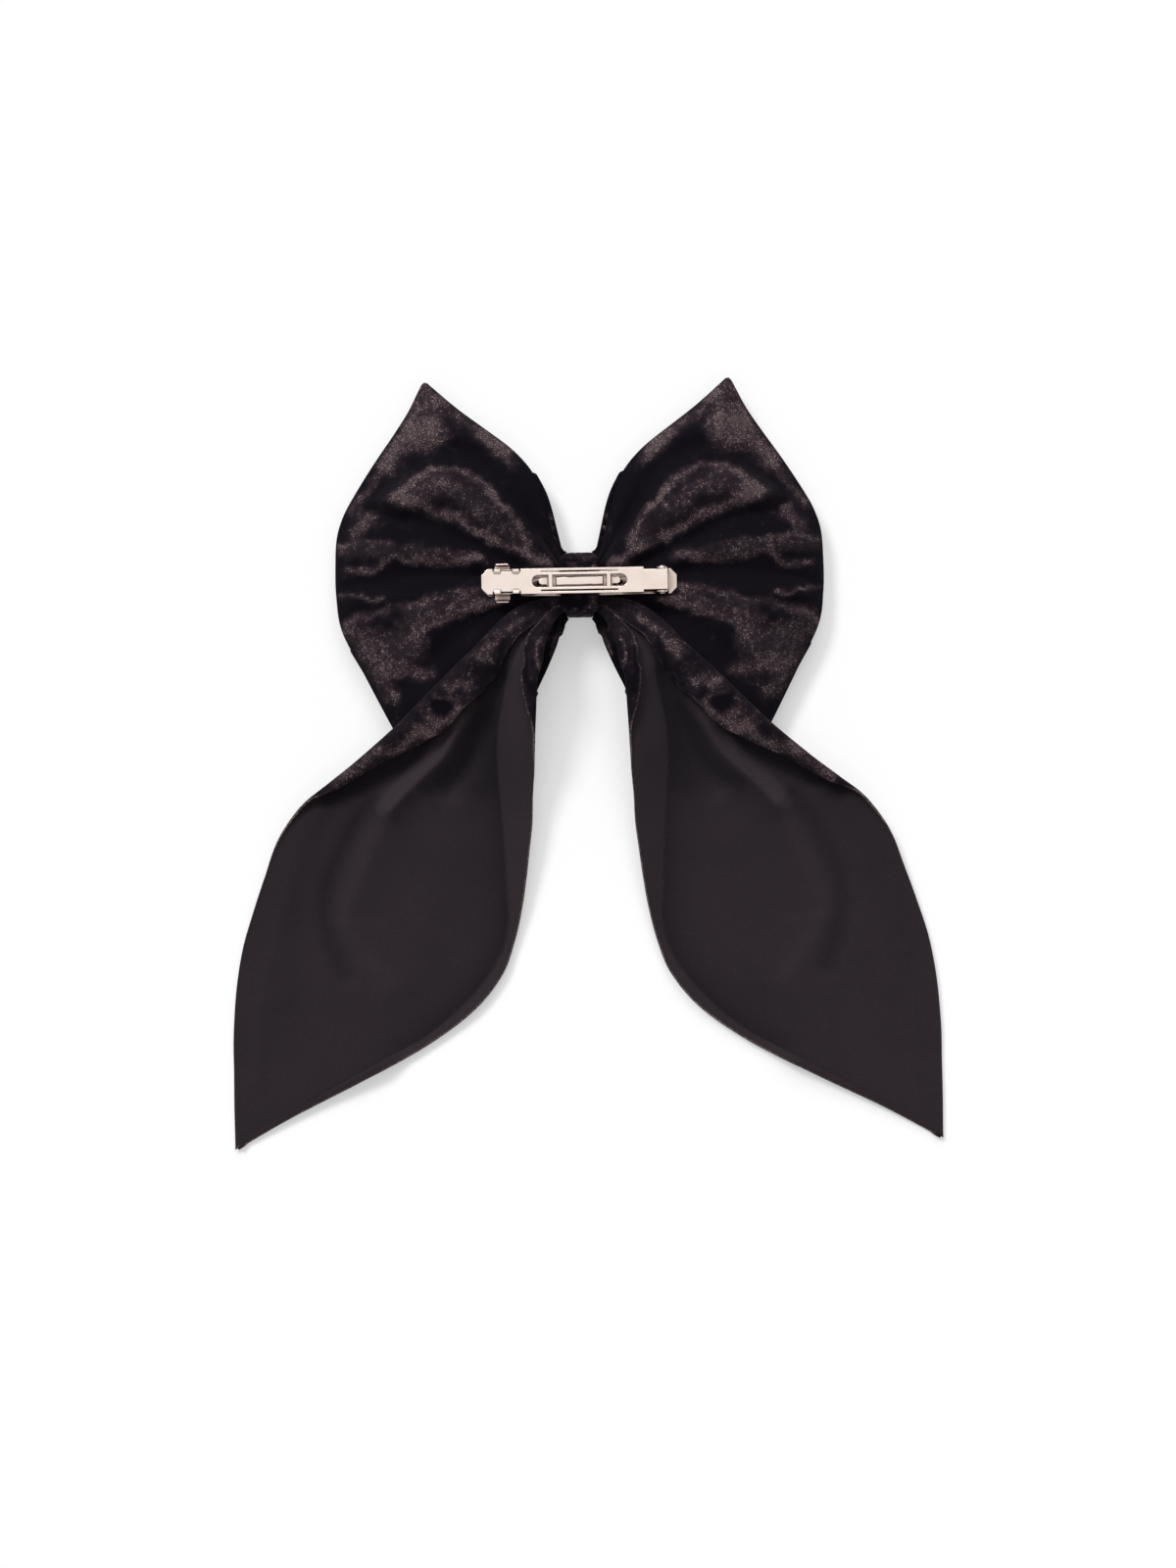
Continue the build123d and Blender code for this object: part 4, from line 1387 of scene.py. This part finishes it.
# ---------------------------------------------------------------- centre
@dataclass
class CentreWrap:
    """Velvet band round the neck and over the base plate, with soft pleats along it.

    The path is a rounded square drawn out to the band's height and length, and the profile
    across it is a thin closed strip whose outer side carries the pleats.
    """

    half_y: float = 9.95
    low_z: float = 0.15
    top_z: float = 18.05
    half_width: float = 5.9
    cloth: float = 0.8
    squareness: float = 7.0
    pleat: float = 0.16
    pleat_pitch: float = 2.6
    edge_round: float = 0.45
    end_narrowing: float = 0.26
    steps: int = 240
    profile_steps: int = 36

    def build(self, name: str) -> bpy.types.Object:
        """Makes the band.

        Args:
            name: the piece's name.

        Returns:
            The new object.
        """
        angle = np.linspace(0, 2 * np.pi, self.steps, endpoint=False)[:, None]
        unit_y, unit_z = rounded_square(angle, self.squareness)
        half_z, mid_z = (self.top_z - self.low_z) / 2, (self.top_z + self.low_z) / 2
        out_y = np.sign(unit_y) * np.abs(unit_y) ** (self.squareness - 1) / self.half_y
        out_z = np.sign(unit_z) * np.abs(unit_z) ** (self.squareness - 1) / half_z
        length = np.hypot(out_y, out_z)

        across = np.linspace(-1, 1, self.profile_steps)
        depth = self.cloth * np.clip((1 - np.abs(across)) * 9, 0, 1) ** 0.5
        side = np.concatenate([across, across[::-1][1:-1]])[None, :]
        wall = np.concatenate([depth * 0, -depth[::-1][1:-1]])[None, :]
        outer = (np.arange(side.size) < self.profile_steps).astype(float)
        x = self.half_width * side * (1 - self.end_narrowing * np.abs(unit_y) ** 10)
        phase = 0.35 * rolling_noise(angle * 6 + 0 * x, x, 4.0, 52)
        calm = 1 - 0.85 * np.abs(unit_y) ** 6
        pleats = self.pleat * np.cos(2 * np.pi * (x / self.pleat_pitch + phase)) * outer * calm
        push = wall + pleats * (1 - np.abs(side) ** 6)
        push = push - self.edge_round * np.abs(side) ** 10 - self.pleat * outer
        y = self.half_y * unit_y + out_y / length * push
        z = mid_z + half_z * unit_z + out_z / length * push
        # Pressed pile shown as painted sheen, with more painted sheen on the band's turned sides
        # beyond |y| 7.6.
        pile_and_painted_light = 0.18 + 0.30 * rolling_noise(angle * 9, x, 1.6, 57) * outer
        pile_and_painted_light = pile_and_painted_light + 0.22 * (np.abs(y) > 7.6)
        points = np.stack([x, y, z], axis=-1)
        uv = points[..., :2]
        return surface(name, points, close_rows=True, close_cols=True, uv=uv, pile_and_painted_light=pile_and_painted_light)

    def dress(self, obj: bpy.types.Object, velvet: Finish) -> None:
        """Gives the band its finish and its place."""
        obj.data.materials.append(velvet)
        settle(obj, "centre_wrap")


@dataclass
class BindingThread:
    """Thread wound round the neck: a round profile carried along a creeping rounded square."""

    half_y: float = 8.85
    low_z: float = 1.32
    top_z: float = 15.62
    reach: float = 2.5
    turns: int = 5
    radius: float = 0.2
    squareness: float = 16.0
    end_share: float = 0.02
    steps_per_turn: int = 140
    sides: int = 8

    def build(self, name: str) -> bpy.types.Object:
        """Makes the winding, whose two ends taper off.

        Args:
            name: the piece's name.

        Returns:
            The new object.
        """
        count = self.turns * self.steps_per_turn
        angle = np.linspace(0, 2 * np.pi * self.turns, count)
        unit_y, unit_z = rounded_square(angle, self.squareness)
        half_z, mid_z = (self.top_z - self.low_z) / 2, (self.top_z + self.low_z) / 2
        creep = np.linspace(-self.reach, self.reach, count)
        path = np.stack([creep, self.half_y * unit_y, mid_z + half_z * unit_z], axis=1)
        path = even_line(path, count)
        along = np.gradient(path, axis=0)
        along /= np.linalg.norm(along, axis=1, keepdims=True)
        first = np.cross(along, np.array([1.0, 0.0, 0.0]))
        first /= np.linalg.norm(first, axis=1, keepdims=True)
        second = np.cross(along, first)
        place = np.arange(count)
        taper = np.minimum(np.minimum(place, place[::-1]) / 2.0, 1.0)
        radius = self.radius * np.maximum(taper, self.end_share)[:, None, None]
        turn = np.linspace(0, 2 * np.pi, self.sides, endpoint=False)[None, :, None]
        ring = np.cos(turn) * first[:, None] + np.sin(turn) * second[:, None]
        return surface(name, path[:, None] + radius * ring, flip=True, close_cols=True)

    def dress(self, obj: bpy.types.Object, thread: Finish) -> None:
        """Gives the winding its finish and its place."""
        obj.data.materials.append(thread)
        settle(obj, "binding_thread")


@dataclass
class Interfacing:
    """Stiff sheet between the panels: its half length follows the loops, less an inset."""

    inset: float = 4.0
    level: float = 8.1
    sheet: float = 0.4
    reach: float = 73.0
    wave: float = 0.12
    stations: tuple[float, ...] = (0.0, 6.3, 8.4, 11.4, 17.0, 28.0, 49.0, 57.0, 67.0, 74.0)
    loop_halves: tuple[float, ...] = (9.0, 9.0, 20.5, 30.0, 38.5, 47.0, 61.0, 48.0, 34.0, 22.0)
    columns: int = 180
    lines: int = 70

    def build(self, name: str) -> bpy.types.Object:
        """Makes the sheet, with a slight wave.

        Args:
            name: the piece's name.

        Returns:
            The new object, still one layer thick until its wall is added.
        """
        x = np.linspace(-self.reach, self.reach, self.columns)
        half = np.interp(np.abs(x), self.stations, np.array(self.loop_halves) - self.inset)
        y = half[:, None] * np.linspace(-1, 1, self.lines)[None, :]
        x = x[:, None] + 0 * y
        calm = np.clip((np.abs(x) - 9) / 20, 0, 1)
        z = self.level + self.sheet / 2 + self.wave * calm * rolling_noise(x, y, 15, 71)
        return surface(name, np.stack([x, y, z], axis=-1))

    def dress(self, obj: bpy.types.Object, finish: Finish) -> None:
        """Gives the sheet its finish and its place.

        Args:
            obj: the sheet.
            finish: its finish.
        """
        obj.data.materials.append(finish)
        thicken(obj, self.sheet)
        settle(obj, "bow_interfacing")


# ---------------------------------------------------------------- clip and studio
@dataclass
class Clip:
    """The metal clip: its CAD pieces keep their shape and get their plating."""

    shaded: tuple[str, ...] = ("base_plate", "clasp_rivet")
    plated: tuple[str, ...] = ("closing_arm", "hinge_pin")
    sprung: tuple[str, ...] = (
        "tension_spring",
        "clasp_floor",
        "clasp_cheek_upper",
        "clasp_cheek_lower",
    )

    def dress(self, nodes: dict) -> None:
        """Plates each piece; the base plate under the arm has the deepest painted shade.

        Args:
            nodes: the CAD objects by name.
        """
        plating = (
            (self.shaded, PlatedMetal("nickel_plate_under", painted_shade_reach=16.0)),
            (self.plated, PlatedMetal("nickel_plate")),
            (self.sprung, PlatedMetal("sprung_nickel", gloss=0.13, painted_shade_reach=4.0)),
        )
        for names, metal in plating:
            finish = metal.build()
            for name in names:
                repaint(nodes[name], finish)


def repaint(obj: bpy.types.Object, finish: Finish) -> None:
    """Puts one finish on every material slot of a CAD piece.

    Args:
        obj: the piece.
        finish: its finish.
    """
    for place in obj.material_slots:
        place.material = finish
    log.info("%s: %s", obj.name, finish.name)


@dataclass
class Studio:
    """Floor, soft lights and the camera that looks straight down."""

    camera_at: Triple = (1.54, -62.9, 670.0)
    lens: float = 47.96
    roll: float = 0.0171
    sensor: float = 36.0
    floor_half: float = 9000.0
    horizon: float = 0.70
    zenith: float = 0.995
    horizon_light: float = 0.12
    zenith_light: float = 1.08
    seen_in_metal: float = 0.55

    def floor(self) -> None:
        """White floor at z = 0."""
        line = np.linspace(-self.floor_half, self.floor_half, 3)
        x, y = np.meshgrid(line, line, indexing="ij")
        obj = surface("floor", np.stack([x, y, 0 * x], axis=-1))
        obj.data.materials.append(PaleFloor("white_sweep").build())

    def sun(self, name: str, come_from: Triple, strength: float, spread: float) -> None:
        """Even light from one direction.

        Args:
            name: the lamp's name.
            come_from: direction that the light comes from.
            strength: the lamp's strength.
            spread: the angle that it fills, in radians.
        """
        data = bpy.data.lights.new(name, "SUN")
        data.energy = strength
        data.angle = spread
        obj = bpy.data.objects.new(name, data)
        bpy.context.collection.objects.link(obj)
        x, y, z = come_from
        obj.rotation_euler = (float(np.arctan2(np.hypot(x, y), z)), 0.0, float(np.arctan2(x, -y)))

    def tent(self) -> None:
        """Pale world: an S-shaped rise from a dim horizon to a bright zenith.

        The camera sees it plain white, and metal sees at least a part of that white.
        """
        world = bpy.data.worlds.new("tent")
        world.use_nodes = True
        sky = Nodes(world.node_tree)
        direction = sky.add("ShaderNodeTexCoord", {}, {}).outputs["Generated"]
        parts = sky.add("ShaderNodeSeparateXYZ", {}, {0: direction})
        ramp = {"Value": parts.outputs["Z"], "From Min": self.horizon, "From Max": self.zenith}
        rise = sky.mapped({**ramp, "To Min": self.horizon_light, "To Max": self.zenith_light})
        backdrop = sky.ray("Is Glossy Ray") * self.seen_in_metal + sky.ray("Is Camera Ray")
        seen = sky.add("ShaderNodeMath", {"operation": "MAXIMUM"}, {0: rise, 1: backdrop})
        background = world.node_tree.nodes["Background"]
        world.node_tree.links.new(seen.outputs[0], background.inputs["Strength"])
        background.inputs["Color"].default_value = (1.0, 1.0, 1.0, 1.0)
        bpy.context.scene.world = world

    def build(self) -> None:
        """Makes the floor, the lights, the world and the camera."""
        self.floor()
        self.tent()
        self.sun("upper_left", (-0.50, 0.62, 0.85), 1.70, 0.28)
        self.sun("top", (0.10, 0.80, 0.80), 0.95, 0.60)

        data = bpy.data.cameras.new("camera")
        data.sensor_fit = "VERTICAL"
        data.sensor_height = self.sensor
        data.lens = self.lens
        data.clip_start = 0.01
        camera = bpy.data.objects.new("camera", data)
        camera.location = tuple(v * MM for v in self.camera_at)
        camera.rotation_euler = (0.0, 0.0, -self.roll)
        bpy.context.collection.objects.link(camera)
        bpy.context.scene.camera = camera
        bpy.context.scene.view_settings.view_transform = "Standard"


def main() -> None:
    """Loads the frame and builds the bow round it."""
    logging.basicConfig(level=logging.INFO, format="%(name)s %(message)s")
    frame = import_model()
    nodes = frame["nodes"]

    velvet = CrushedVelvet("plum_velvet").build()
    knit = KnitBack("velvet_reverse").build()
    raw = CutEdge("raw_edge").build()
    thread = SewingThread("dark_thread").build()

    back = VelvetPanel(Face.BACK)
    front = VelvetPanel(Face.FRONT)
    back.dress(back.build("loops_back_velvet"), velvet, "bow_back_panel")
    front.dress(front.build("loops_front_velvet"), velvet, "bow_front_panel")
    for side, name in ((Side.RIGHT, "tail_right"), (Side.LEFT, "tail_left")):
        tail = Tail(side, back)
        tail.dress(tail.build(f"{name}_velvet"), (knit, velvet, raw), name)
    wrap = CentreWrap()
    wrap.dress(wrap.build("centre_wrap_velvet"), velvet)
    winding = BindingThread()
    winding.dress(winding.build("binding_thread_winding"), thread)
    stiffener = Interfacing()
    stiffener.dress(stiffener.build("loops_interfacing"), Nonwoven("pressed_fibre").build())
    repaint(nodes["wrap_stitches"], thread)
    Clip().dress(nodes)
    Studio().build()


if __name__ == "__main__":
    main()
